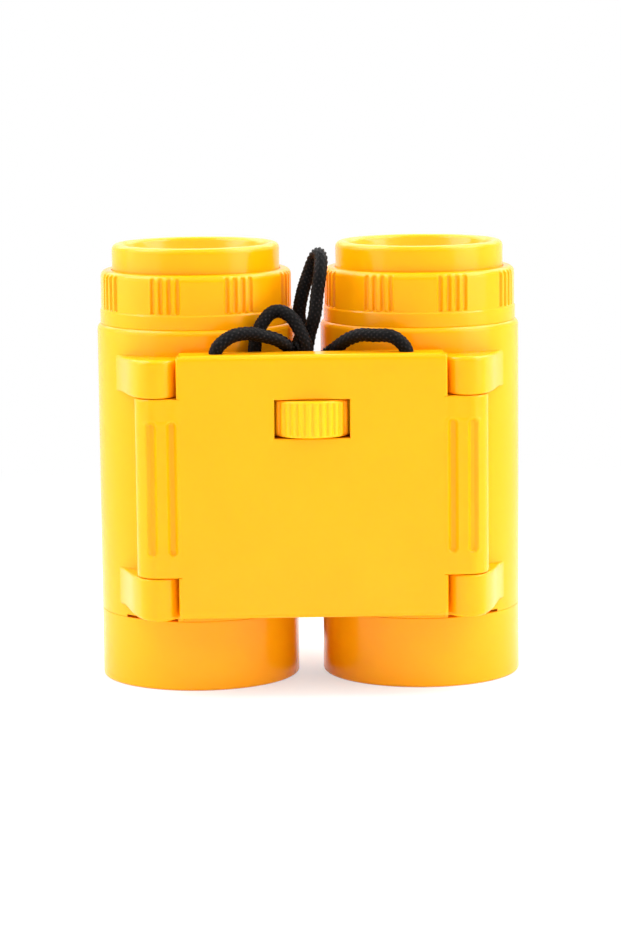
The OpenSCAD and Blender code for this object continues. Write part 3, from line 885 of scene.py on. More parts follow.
@dataclass(frozen=True)
class Layout:
    """Places in millimetres that several sub-assemblies share, most of them read from the frame's boxes."""

    barrel_x: float
    barrel_y: float
    barrel_r: float
    hinge_x: float
    hinge_dy: float
    knuckle_r: float
    bridge_low: float
    bridge_top: float
    plate_front: float
    tab_low: float = 24.6
    tab_top: float = 60.7
    neck_bore: float = 17.3
    cord_hole_x: float = 19.0
    cord_hole_dy: float = 24.4965

    @classmethod
    def from_frame(cls) -> "Layout":
        """Reads the right bell, the right hinge pin and the bridge's front cover.

        Returns:
            The layout.
        """
        bell_low, bell_high = node_box("right_objective_bell")
        cover_low, cover_high = node_box("bridge_front_cover")
        middle = (bell_low + bell_high) / 2.0
        pin = sum(node_box("right_hinge_pin")) / 2.0
        return cls(
            barrel_x=float(middle[0]),
            barrel_y=float(middle[1]),
            barrel_r=float(bell_high[0] - bell_low[0]) / 2.0,
            hinge_x=float(pin[0]),
            hinge_dy=float(middle[1] - pin[1]),
            knuckle_r=float(cover_high[0] - pin[0]),
            bridge_low=float(cover_low[2]),
            bridge_top=float(cover_high[2]),
            plate_front=float(middle[1] - cover_low[1]),
        )

    def ahead(self, side: Side, x: float, dy: float) -> np.ndarray:
        """Place on the floor, so far out on one side and so far in front of the barrels' axes."""
        return np.array([side.value * x, self.barrel_y - dy, 0.0])

    def axis(self, side: Side) -> np.ndarray:
        """Foot of a barrel's axis on the floor."""
        return self.ahead(side, self.barrel_x, 0.0)

    def hinge(self, side: Side) -> np.ndarray:
        """Foot of a hinge's axis on the floor."""
        return self.ahead(side, self.hinge_x, self.hinge_dy)


# The neck cord


@dataclass
class NeckCord:
    """Braided neck cord, knotted into the bridge at both ends, its spare length coiled behind the barrels.

    Route points are in millimetres from the middle of the line between both barrel axes.
    """

    layout: Layout
    finishes: Finishes
    diameter: float = 2.4
    hole_rise: float = 0.2
    knot_top: float = 67.0
    knot_dy: float = 23.5965
    knot_r: float = 2.2
    knot_h: float = 4.8
    knot_winding: float = 8.0
    knot_relief: float = 0.08
    knot_fullness: float = 0.55
    coil_x: float = -22.0
    coil_y: float = 41.5
    coil_z: float = 1.8
    coil_r: float = 16.0
    coil_turns: float = 4.75
    turn_step: float = 2.9
    spacing: float = 0.3
    sides: int = 32
    picks_round: int = 8
    pick_length: float = 1.2
    pick_height: float = 0.3
    pick_fullness: float = 0.6
    picks_mapped: float = 10.0
    swell: float = 0.24
    soft_crease: float = 80.0
    fixed_direction: tuple[float, float, float] = (0.36, 0.27, 0.89)
    tie_width: float = 4.0
    tie_thickness: float = 0.5
    tie_room: float = 0.1
    tie_bend: float = 1.1
    tie_edge: float = 0.2
    tie_angle: float = math.radians(135.0)

    def hole(self, side: Side) -> list[list[float]]:
        """Route through one hole of the bridge's top wall, from the knot up."""
        place = [side.value * self.layout.cord_hole_x, -self.layout.cord_hole_dy]
        return [place + [self.knot_top], place + [self.layout.bridge_top + self.hole_rise]]

    def left_route(self) -> list[list[float]]:
        """Left hole, arch, dip, tall loop, turn behind the plate, low loop, then back between the barrels.

        Returns:
            Route points from the left knot on.
        """
        return self.hole(Side.LEFT) + [
            [-17.9, -24.4, 71.3], [-15.4, -23.8, 72.8], [-12.3, -22.7, 73.1],
            [-9.5, -22, 72.5], [-6.5, -21, 71.5], [-4, -19, 69.5], [-4, -16, 68], [-4, -12.5, 67.5],
            [-2.5, -9.5, 69], [-1.5, -8.5, 72], [-2, -8.5, 75.5], [-1.2, -9, 80], [0.1, -9.5, 84],
            [1.2, -11, 87], [2, -13, 88], [2.4, -15, 87], [2.1, -16.5, 84], [1.5, -16.5, 80],
            [1, -16.5, 76], [0, -16, 72.5], [-0.5, -16, 70], [-1, -16, 67.5], [-2.5, -16.5, 65],
            [-5, -17, 63.5], [-8.5, -18.5, 64], [-11, -19, 67], [-11, -19, 71], [-10, -18.5, 74],
            [-8, -18, 76.5], [-6, -18, 77], [-4, -18.5, 76], [-2.5, -19, 74], [-1, -19.5, 70.5],
            [-0.5, -19, 66.5], [0.5, -16.5, 63.5], [0, -12, 63.5], [-1, -8, 61], [-1, -3.5, 56.5],
            [-1, 2, 51.5], [-2, 9, 44.5], [-4, 15, 36], [-6, 21, 26.5], [-7, 26.5, 17],
            [-7, 31.5, 8.5], [-6.5, 36, 2.5],
        ]

    def right_route(self) -> list[list[float]]:
        """From the coil up between the barrels, over the right arch and into the right hole.

        Returns:
            Route points up to the right knot.
        """
        return [
            [-14, 25.5, 5], [-9.5, 23.5, 7.5], [-7, 19.5, 13.5], [-5.5, 15.5, 21.5], [-4, 11.5, 30],
            [-2, 7.5, 38], [0, 3, 45.5], [1, -2, 52], [1.5, -5.5, 58.5], [2, -8.5, 63],
            [2.5, -12, 65.5], [3, -15.5, 67.5], [5, -19, 69.5], [7.5, -21, 71.5], [10, -22.5, 72.5],
            [12.5, -23.5, 72.5], [15.5, -24.5, 72.5], [17.5, -24.5, 71.5],
        ] + self.hole(Side.RIGHT)[::-1]

    def coil(self, points_each: int = 24) -> np.ndarray:
        """Turns of the coil.

        The radius shrinks by one step a turn until half way and grows again after it, and over the middle
        half turn the cord climbs one layer by a half cosine. Both ends run straight for one diameter.

        Args:
            points_each: points of one turn.

        Returns:
            An (n, 3) array.
        """
        whole = self.coil_turns * 2.0 * np.pi
        a = np.linspace(0.0, whole, int(self.coil_turns * points_each) + 1)
        radius = self.coil_r - self.turn_step * np.minimum(a, whole - a) / (2.0 * np.pi)
        climb = np.clip((a - whole / 2.0 + np.pi / 2.0) / np.pi, 0.0, 1.0)
        height = self.coil_z + self.turn_step * (1.0 - np.cos(np.pi * climb)) / 2.0
        turns = np.stack([self.coil_x + radius * np.cos(a), self.coil_y + radius * np.sin(a), height], -1)
        lead_in = turns[:1] - [0.0, self.diameter, 0.0]
        lead_out = turns[-1:] + [self.diameter, 0.0, 0.0]
        return np.concatenate([lead_in, turns, lead_out])

    def centreline(self, steps: int = 24) -> np.ndarray:
        """Smooth line through every point of the route, evenly spaced.

        Between two points the line is the cubic through both whose slope at each is half the step between
        that point's neighbours.

        Args:
            steps: points of each cubic before they are spaced evenly.

        Returns:
            An (n, 3) array in the frame's place.
        """
        route = np.concatenate([self.left_route(), self.coil(), self.right_route()])
        padded = np.concatenate([2 * route[:1] - route[1:2], route, 2 * route[-1:] - route[-2:-1]])
        before, start, end, after = padded[:-3], padded[1:-2], padded[2:-1], padded[3:]
        t = np.linspace(0.0, 1.0, steps, endpoint=False)[:, None, None]
        curve = 0.5 * (
            2 * start + (end - before) * t
            + (2 * before - 5 * start + 4 * end - after) * t**2
            + (3 * start - before - 3 * end + after) * t**3
        )
        dense = np.concatenate([curve.transpose(1, 0, 2).reshape(-1, 3), route[-1:]])
        length = np.linalg.norm(np.diff(dense, axis=0), axis=1).sum()
        even = along(dense, np.linspace(0.0, 1.0, int(round(length / self.spacing)) + 1))
        return even + [0.0, self.layout.barrel_y, 0.0]

    def frames(self, path: np.ndarray) -> tuple[np.ndarray, np.ndarray]:
        """Side directions along a path that turn as little as they can.

        Each side starts square to the path and to one fixed direction; the angle by which neighbours then
        twist about the path is summed along it and taken off.

        Args:
            path: points of the path.

        Returns:
            Two unit vectors for each point, square to the path and to each other.
        """
        ahead = unit(np.gradient(path, axis=0))
        side = unit(np.cross(ahead, self.fixed_direction))
        over = np.cross(ahead, side)
        twist = np.arctan2((side[1:] * over[:-1]).sum(1), (side[1:] * side[:-1]).sum(1))
        angle = -np.concatenate([[0.0], np.cumsum(twist)])[:, None]
        turned_side = side * np.cos(angle) + over * np.sin(angle)
        return turned_side, np.cross(ahead, turned_side)

    def picks(self, around: np.ndarray, run: np.ndarray) -> np.ndarray:
        """Height of the braid from 0 between the picks to 1 on them.

        Two families of strands cross in a lattice: |cos n a + cos 2 pi s / l| / 2 to the power of the
        fullness.

        Args:
            around: angles round the cord.
            run: lengths along it.

        Returns:
            The heights.
        """
        lattice = np.cos(self.picks_round * around) + np.cos(2.0 * np.pi * run / self.pick_length)
        return np.abs(lattice / 2.0) ** self.pick_fullness

    def braid(self, path: np.ndarray) -> bpy.types.Object:
        """Braided tube along a path.

        Point (i, k) lies r_ik from path point i in the direction of angle a_k, where r is the swollen cord's
        radius less the hollows of the braid; flat faces close both ends.

        Args:
            path: evenly spaced points.

        Returns:
            The tube, marked for its finish.
        """
        side, over = self.frames(path)
        angles = even_angles(self.sides)
        run = np.arange(len(path))[:, None] * self.spacing
        radius = self.diameter / 2.0 + self.swell - self.pick_height * (1.0 - self.picks(angles[None], run))
        out = np.cos(angles)[None, :, None] * side[:, None] + np.sin(angles)[None, :, None] * over[:, None]
        piece = mesh_object("neck_cord", stacked(path[:, None] + radius[..., None] * out))
        self.mark(piece, *np.broadcast_arrays(angles[None], run))
        return piece

    def mark(self, piece: bpy.types.Object, around: np.ndarray, run: np.ndarray) -> None:
        """Stores the braid's height and its map of (turns round, picks along) on the mesh for its finish.

        Args:
            piece: the braided object.
            around: each point's angle round the cord.
            run: each point's length along it.
        """
        mesh = piece.data
        height = self.picks(around, run).ravel()
        place = np.stack([around / (2.0 * np.pi), run / (self.picks_mapped * self.pick_length)], -1)
        mesh.attributes.new("pick", "FLOAT", "POINT").data.foreach_set("value", height.astype(np.float32))
        corner = np.empty(len(mesh.loops), np.int32)
        mesh.loops.foreach_get("vertex_index", corner)
        layer = mesh.uv_layers.new(name="braid")
        layer.data.foreach_set("uv", place.reshape(-1, 2)[corner].astype(np.float32).ravel())

    def knot(self, side: Side, pole_gap: float = 0.02) -> bpy.types.Object:
        """Tight end knot under the bridge's top wall: a barrel-shaped lump that the braid winds round.

        Over the angle t from pole to pole the height is -cos t and the radius sin t to the power of the
        fullness, with a relief of cos (w t + 2 a) that fades out at the poles.

        Args:
            side: which end of the cord.
            pole_gap: angle left free at both poles.

        Returns:
            The dressed knot.
        """
        rise = np.linspace(pole_gap, np.pi - pole_gap, 28)
        angles = even_angles(48)
        profile = np.stack(
            [self.knot_r * np.sin(rise) ** self.knot_fullness, -np.cos(rise) * self.knot_h / 2.0], -1
        )
        winding = self.knot_relief * np.cos(self.knot_winding * rise[:, None] + 2.0 * angles)
        shape = turned(profile, angles, winding * np.sin(rise)[:, None])
        at = self.layout.ahead(side, self.layout.cord_hole_x, self.knot_dy)
        at[2] = self.knot_top - self.knot_h / 2.0
        piece = mesh_object(f"{side.word}_end_knot", moved(shape, at))
        x, y, z = shape.points.T
        self.mark(piece, np.arctan2(y, x), z)
        return dress(piece, self.finishes.cord, "bridge", [f"{side.word}_cord_knot"])

    def tie(self) -> bpy.types.Object:
        """Band round the bundle of turns: a flat section with round edges carried round an oblong loop.

        Returns:
            The dressed band.
        """
        cord_r, half_w, half_t = self.diameter / 2.0, self.tie_width / 2.0, self.tie_thickness / 2.0
        room = self.tie_room + half_t
        inner_r = self.coil_r - self.turn_step * self.coil_turns / 2.0 - cord_r - room
        top = self.coil_z + self.turn_step + cord_r + room
        loop = rectangle((inner_r, half_t), (self.coil_r + cord_r + room, top), self.tie_bend, 6)
        strap = rectangle((-half_w, -half_t), (half_w, half_t), self.tie_edge, 3)
        along_loop = loop[:, None] + strap[None, :, 1:] * outline_normals(loop)[:, None]
        across = np.broadcast_to(strap[None, :, 0], along_loop.shape[:2])
        cos, sin = math.cos(self.tie_angle), math.sin(self.tie_angle)
        x = self.coil_x + along_loop[..., 0] * cos - across * sin
        y = self.coil_y + along_loop[..., 0] * sin + across * cos + self.layout.barrel_y
        points = np.stack([x, y, along_loop[..., 1]], -1).reshape(-1, 3)
        faces = grid_quads(len(loop), len(strap), True, True).tolist()
        piece = mesh_object("coil_band", Shape(points, faces))
        return dress(piece, self.finishes.tie, "bridge", ["cord_tie"])

    def build(self) -> None:
        path = self.centreline()
        runs = ["cord_left_run", "cord_coil", "cord_right_run"]
        piece = dress(self.braid(path), self.finishes.cord, "bridge", runs, self.soft_crease)
        extras = [self.knot(Side.LEFT), self.knot(Side.RIGHT), self.tie()]


# The barrels


@dataclass
class SideAssembly:
    """Pieces on one barrel's axis: where they stand, what they are finished in and how they are named."""

    layout: Layout
    finishes: Finishes
    side: Side

    def named(self, words: str) -> str:
        """Name of this side's piece, node or body."""
        return f"{self.side.word}_{words}"

    def stand(self, shape: Shape) -> Shape:
        """The shape moved from the origin to the barrel's axis."""
        return moved(shape, self.layout.axis(self.side))

    def add(self, words: str, shape: Shape, finish: Finish, body: str, node: str) -> None:
        """Makes and dresses a piece; every name is given without its side.

        Args:
            words: the piece's name.
            shape: its shape about the barrel's axis.
            finish: its finish.
            body: CAD body that it rides on.
            node: CAD node that it stands for.
        """
        piece = mesh_object(self.named(words), self.stand(shape))
        dress(piece, finish, self.named(body), [self.named(node)])


@dataclass
class Barrel(SideAssembly):
    """One barrel: tube with two hinge knuckles, objective bell, lens and retaining ring."""

    columns: int = 160
    bore_r: float = 18.5
    tube_low: float = 14.33
    tube_top: float = 73.6
    neck_r: float = 18.3
    neck_top: float = 83.25
    bead_low: float = 77.35
    bead_h: float = 1.4
    bead_out: float = 0.35
    inner_step: float = 71.7
    rim_fillet: float = 1.3
    knuckle_gap: float = 0.12
    knuckle_drop: float = 0.8
    inner_fillet: float = 0.4
    outer_fillet: float = 0.9
    foot_drop: float = 0.45
    low_slope: float = 0.07
    top_slope: float = -0.03
    nose_start: float = math.radians(-158.0)
    nose_ahead: float = 0.75
    web_start: float = math.radians(-30.0)
    web_end: float = math.radians(-31.0)
    web_pull: float = 1.1
    web_sink: float = 0.2
    root_sink: float = 0.9
    fillet_fade: tuple[float, float] = (-0.3, 1.2)
    close_fit: float = 0.18
    pin_bore: float = 1.32
    pin_under: float = 2.0
    pin_cap: float = 1.8
    relief_x: tuple[float, float] = (4.4, 14.9)
    relief_y: tuple[float, float] = (-21.0, -12.0)
    relief_h: float = 0.55
    relief_under: float = 1.0
    bell_top: float = 14.3
    mouth_r: float = 17.6
    spigot_r: float = 18.47
    spigot_top: float = 19.5
    ledge_w: float = 1.5
    ledge_h: float = 1.6
    seat_fit: float = 0.03
    lens_r: float = 16.5
    lens_low: float = 7.0
    lens_high: float = 9.0
    lens_crown: float = 1.4
    lens_flat: float = 1.7
    lens_bevel: float = 0.15
    keeper_w: float = 1.6
    keeper_h: float = 1.6

    def build(self) -> None:
        """Makes and dresses every piece of the barrel."""
        self.tube()
        self.bell()
        self.lens()
        self.retainer()

    def knuckle_outline(self) -> np.ndarray:
        """Plan of a hinge knuckle about the barrel's axis.

        An arc round the hinge runs on into a web that leaves it in a tangent and flows hollow into the
        barrel's outer side, as the cubic with both ends and both end directions given; an arc inside the
        tube's wall and a straight wall beside the bridge close the outline.

        Returns:
            A counter-clockwise (x, y) outline for this side.
        """
        size = self.layout
        offset = size.hinge_x - size.barrel_x
        start, end = self.web_start, self.web_end
        nose_arc = arc((offset, -size.hinge_dy), size.knuckle_r, self.nose_start, start, 24)
        foot = (size.barrel_r - self.web_sink) * np.array([math.cos(end), math.sin(end)])
        pull = self.web_pull * math.dist(foot, nose_arc[-1])
        leave, join = (pull * np.array([-math.sin(a), math.cos(a)]) for a in (start, end))
        t = np.linspace(0.0, 1.0, 31)[1:, None]
        web = (
            (2 * t**3 - 3 * t**2 + 1) * nose_arc[-1] + (t**3 - 2 * t**2 + t) * leave
            + (3 * t**2 - 2 * t**3) * foot + (t**3 - t**2) * join
        )
        root_r = size.barrel_r - self.root_sink
        inner_x = offset - size.knuckle_r - self.close_fit
        root = arc((0.0, 0.0), root_r, end, -math.acos(inner_x / root_r), 26)
        nose = np.array([inner_x, -size.hinge_dy - self.nose_ahead])
        straight = along(np.array([root[-1], nose]), np.linspace(0.0, 1.0, 8)[1:])
        outline = np.concatenate([nose_arc, web, root, straight])
        return outline if self.side is Side.RIGHT else (outline * [-1.0, 1.0])[::-1]

    def knuckle(self, inner: float, outer: float, slope: float) -> Shape:
        """One hinge knuckle whose outer end slopes towards the back.

        Every point is raised by the slope times its distance behind the front, in full at the outer end and
        not at all at the end beside the bridge's own knuckle. The rounding of the edges fades out at the
        barrel's wall.

        Args:
            inner: height of the end beside the bridge's knuckle.
            outer: height of the other end.
            slope: rise of the outer end for each millimetre of depth.

        Returns:
            The knuckle about the barrel's axis.
        """
        ends, fillets = zip(*sorted([(inner, self.inner_fillet), (outer, self.outer_fillet)]))
        outline = self.knuckle_outline()
        beyond_wall = np.hypot(outline[:, 0], outline[:, 1]) - self.layout.barrel_r
        prism = rounded_prism(outline, ends, fillets, smooth_rise(*self.fillet_fade, beyond_wall))
        points = prism.points.copy()
        behind = points[:, 1] + self.layout.hinge_dy + self.layout.knuckle_r
        points[:, 2] += slope * behind * (points[:, 2] - inner) / (outer - inner)
        return Shape(points, prism.faces)

    def tube(self) -> None:
        """Barrel tube with its neck and bead, both knuckles fused on and a relief under the lower one."""
        size = self.layout
        bead_r, bead_top = self.neck_r + self.bead_out, self.bead_low + self.bead_h
        profile = section(
            [
                (self.bore_r, self.tube_low, 0.2), (size.barrel_r, self.tube_low, 0.12),
                (size.barrel_r, self.tube_top, self.rim_fillet), (self.neck_r, self.tube_top, 0.2),
                (self.neck_r, self.bead_low, 0.1), (bead_r, self.bead_low, 0.12),
                (bead_r, bead_top, 0.12), (self.neck_r, bead_top, 0.1),
                (self.neck_r, self.neck_top, 0.2), (size.neck_bore, self.neck_top, 0.2),
                (size.neck_bore, self.inner_step, 0.2), (self.bore_r, self.inner_step, 0.2),
            ]
        )
        shape = revolved(profile, even_angles(self.columns))
        piece = mesh_object(self.named("barrel_moulding"), self.stand(shape))
        low, top = size.bridge_low, size.bridge_top - self.knuckle_drop
        lower = self.knuckle(size.tab_low - self.knuckle_gap, low - self.foot_drop, self.low_slope)
        upper = self.knuckle(size.tab_top + self.knuckle_gap, top, self.top_slope)
        carve(piece, self.stand(lower), "UNION")
        carve(piece, self.stand(upper), "UNION")
        bore = bar(self.pin_bore, low - self.pin_under, top - self.pin_cap)
        carve(piece, moved(bore, size.hinge(self.side)))
        reach = sorted(self.side.value * x for x in self.relief_x)
        relief_low = [reach[0], self.relief_y[0], self.tube_low - self.relief_under]
        relief_high = [reach[1], self.relief_y[1], self.tube_low + self.relief_h]
        carve(piece, self.stand(block(relief_low, relief_high)))
        dress(piece, self.finishes.yellow, self.named("barrel"), [self.named("barrel_tube")])

    def bell(self) -> None:
        """Objective bell: the wide mouth, the lens seat and the spigot that plugs into the tube."""
        outer_r, seat_r = self.layout.barrel_r, self.lens_r + self.seat_fit
        ledge_r, ledge_top = self.lens_r - self.ledge_w, self.lens_high + self.ledge_h
        profile = section(
            [
                (self.mouth_r, 0.0, 0.7), (outer_r, 0.0, 0.6), (outer_r, self.bell_top, 0.12),
                (self.spigot_r, self.bell_top, 0.15), (self.spigot_r, self.spigot_top, 0.3),
                (self.lens_r, self.spigot_top, 0.3), (self.lens_r, ledge_top, 0.2),
                (ledge_r, ledge_top, 0.2), (ledge_r, self.lens_high, 0.2),
                (seat_r, self.lens_high, 0.1), (seat_r, self.lens_low, 0.1),
                (self.mouth_r, self.lens_low, 0.1),
            ]
        )
        shape = revolved(profile, even_angles(self.columns))
        self.add("bell_moulding", shape, self.finishes.yellow, "barrel", "objective_bell")

    def lens(self) -> None:
        """Objective lens: a flat seat rim and a dome on both sides, bent as a circle's arc."""
        r, swell = dome(self.lens_r - self.lens_flat, self.lens_crown, 24)
        low, high, bevel = self.lens_low, self.lens_high, self.lens_bevel
        under = np.stack([r, low - swell], -1)
        rim = [
            (self.lens_r - bevel, low), (self.lens_r, low + bevel),
            (self.lens_r, high - bevel), (self.lens_r - bevel, high),
        ]
        over = np.stack([r, high + swell], -1)[::-1]
        shape = turned(np.concatenate([under, rim, over]), even_angles(96))
        self.add("objective_glass", shape, self.finishes.lens, "barrel", "objective_lens")

    def retainer(self) -> None:
        """Black ring that holds the objective lens in the mouth."""
        inner, outer = self.lens_r - self.keeper_w, self.mouth_r - self.seat_fit
        low = self.lens_low - self.keeper_h
        profile = rectangle((inner, low), (outer, self.lens_low), [0.5, 0.2, 0.1, 0.2])
        shape = revolved(profile, even_angles(self.columns))
        self.add("mouth_ring", shape, self.finishes.black, "barrel", "objective_retainer")


# The eyepieces


@dataclass
class Eyepiece(SideAssembly):
    """Focus ring with groups of grip grooves, and the dished eyecup with its ocular lens."""

    ring_low: float = 73.68
    lip_drop: float = 0.28
    lip_w: float = 0.4
    ring_top: float = 84.4
    ring_r: float = 19.55
    band_h: float = 2.5
    band_out: float = 0.18
    band_slope: float = 0.3
    ring_bore: float = 18.4
    flange: float = 1.3
    rim_fillet: float = 1.3
    wall_foot: tuple[float, float] = (0.06, 0.45)
    wall_drops: tuple[float, ...] = (5.4, 2.4, 1.5, 1.35)
    groups: int = 8
    grooves: int = 4
    groove_pitch: float = math.radians(5.2)
    groove_depth: float = 0.45
    groove_flanks: tuple[float, float] = (0.25, 0.9)
    groove_foot: tuple[float, float] = (0.05, 0.4)
    groove_head: tuple[float, float] = (1.0, 0.45)
    groove_wall: tuple[float, float] = (0.6, 0.35)
    rib_out: float = 0.14
    group_fade: float = 0.3
    fine_lines: int = 12
    plain_lines: int = 6
    left_turn: float = math.radians(4.3)
    right_turn: float = math.radians(-5.5)
    cup_r: float = 17.2
    cup_in: float = 15.5
    rim_in: float = 14.9
    cup_low: float = 75.15
    cup_top: float = 89.6
    dish_low: float = 82.2
    dish_w: float = 2.7
    dish_h: float = 2.6
    well_r: float = 8.6
    well_h: float = 0.7
    floor_t: float = 1.5
    cell_low: float = 76.8
    cell_wall: float = 1.5
    cell_fit: float = 0.03
    lens_r: float = 8.0
    lens_edge: float = 2.6
    lens_drop: float = 1.0
    lens_lip: float = 1.0
    lens_hollow: float = 0.7
    keeper_w: float = 1.6
    keeper_h: float = 1.6
    keeper_fillet: float = 0.2

    def build(self) -> None:
        """Makes and dresses the ring, the cup, its lens and the lens's ring."""
        self.ring()
        self.cup()
        self.lens()
        self.retainer()

    @property
    def group_half(self) -> float:
        """Half the angle that one group of grooves takes."""
        return self.groove_pitch * self.grooves / 2.0

    def group_lines(self) -> np.ndarray:
        """Angles of the close columns across one group, from its middle."""
        return np.linspace(-self.group_half, self.group_half, self.fine_lines * self.grooves + 1)

    def ring_angles(self) -> np.ndarray:
        """Columns round the ring, close together across the grooves and wide apart between the groups.

        Returns:
            The angles.
        """
        sector = 2.0 * np.pi / self.groups
        plain = np.linspace(self.group_half, sector - self.group_half, self.plain_lines + 2)[1:-1]
        one = np.concatenate([self.group_lines(), plain])
        middles = (np.arange(self.groups) + 0.5) * sector - np.pi / 2.0
        turn = self.left_turn if self.side is Side.LEFT else self.right_turn
        return (middles[:, None] + one[None]).ravel() + turn

    def groove_relief(self, profile: np.ndarray) -> np.ndarray:
        """Grip grooves as a change of radius.

        Across a group the radius falls by the depth in a raised cosine at each groove and stands slightly
        proud between them; up the ring the grooves start above the band and end below the round top edge.

        Args:
            profile: (r, z) points of the ring's section.

        Returns:
            One value for each profile point and column.
        """
        half = self.group_half
        outside = np.full(self.plain_lines, 2.0 * half)
        across = np.tile(np.concatenate([self.group_lines(), outside]), self.groups)
        wave = 0.5 - 0.5 * np.cos(2.0 * np.pi * (across + half) / self.groove_pitch)
        inside = smooth_rise(half, half - self.group_fade * self.groove_pitch, np.abs(across))
        fall_in = (self.rib_out + self.groove_depth) * smooth_rise(*self.groove_flanks, wave)
        radius, height = profile.T
        start = self.ring_low + self.band_h + self.band_slope
        rise = smooth_rise(start + self.groove_foot[0], start + self.groove_foot[1], height)
        head_low, head_top = (self.ring_top - drop for drop in self.groove_head)
        fall = 1.0 - smooth_rise(head_low, head_top, height)
        outer = smooth_rise(self.ring_bore + self.groove_wall[0], self.ring_r - self.groove_wall[1], radius)
        return (rise * fall * outer)[:, None] * (inside * (self.rib_out - fall_in))[None]

    def ring(self) -> None:
        """Focus ring: a plain band at the foot, grooves above it and a round top edge."""
        bore, neck, wall_r = self.ring_bore, self.layout.neck_bore, self.ring_r
        band_r, band_top = wall_r + self.band_out, self.ring_low + self.band_h
        wall_low, inside_top = band_top + self.band_slope, self.ring_top - self.flange
        corners = section(
            [
                (bore, self.ring_low, 0.2), (wall_r - self.lip_w, self.ring_low, 0.1),
                (band_r, self.ring_low - self.lip_drop, 0.12), (band_r, band_top, 0.06),
                (wall_r, wall_low, 0.06), (wall_r, self.ring_top, self.rim_fillet),
                (neck, self.ring_top, 0.25), (neck, inside_top, 0.2), (bore, inside_top, 0.2),
            ],
            6,
        )
        foot = wall_low + np.linspace(*self.wall_foot, 4)
        heights = np.concatenate([foot, self.ring_top - np.array(self.wall_drops)])
        profile = walled(corners, wall_r, heights)
        shape = revolved(profile, self.ring_angles(), self.groove_relief(profile))
        self.add("grip_ring", shape, self.finishes.yellow, "ring", "focus_ring")

    def cup(self) -> None:
        """Eyecup: a skirt, a soft wide rim, a dish that slopes to the lens and the lens cell under it."""
        floor_low, seat = self.dish_low - self.floor_t, self.dish_low - self.lens_drop
        cell_r, lip_r = self.lens_r + self.cell_fit, self.lens_r - self.lens_lip
        cell_out, well_top = cell_r + self.cell_wall, self.dish_low + self.well_h
        profile = section(
            [
                (self.cup_in, self.cup_low, 0.3), (self.cup_r, self.cup_low, 0.4),
                (self.cup_r, self.cup_top, 1.15), (self.rim_in, self.cup_top, 1.5),
                (self.rim_in - self.dish_w, self.dish_low + self.dish_h, 2.4), (self.well_r, well_top, 1.0),
                (lip_r, well_top, 0.35), (lip_r, seat, 0.12), (cell_r, seat, 0.12),
                (cell_r, self.cell_low, 0.2), (cell_out, self.cell_low, 0.2),
                (cell_out, floor_low, 0.3), (self.cup_in, floor_low, 0.3),
            ],
            7,
        )
        shape = revolved(profile, even_angles(144))
        self.add("eyecup_moulding", shape, self.finishes.yellow, "eyepiece", "eyecup")

    def lens(self) -> None:
        """Ocular lens, hollow on both sides as a circle's arc."""
        high = self.dish_low - self.lens_drop
        low = high - self.lens_edge
        r, sink = dome(self.lens_r, self.lens_hollow, 20)
        profile = np.concatenate([np.stack([r, low + sink], -1), np.stack([r, high - sink], -1)[::-1]])
        shape = turned(profile, even_angles(72))
        self.add("ocular_glass", shape, self.finishes.lens, "eyepiece", "ocular_lens")

    def retainer(self) -> None:
        """Black ring under the ocular lens."""
        high = self.dish_low - self.lens_drop - self.lens_edge
        inner, low = self.lens_r - self.keeper_w, high - self.keeper_h
        profile = rectangle((inner, low), (self.lens_r, high), self.keeper_fillet)
        shape = revolved(profile, even_angles(72))
        self.add("ocular_ring", shape, self.finishes.black, "eyepiece", "ocular_retainer")


# The bridge


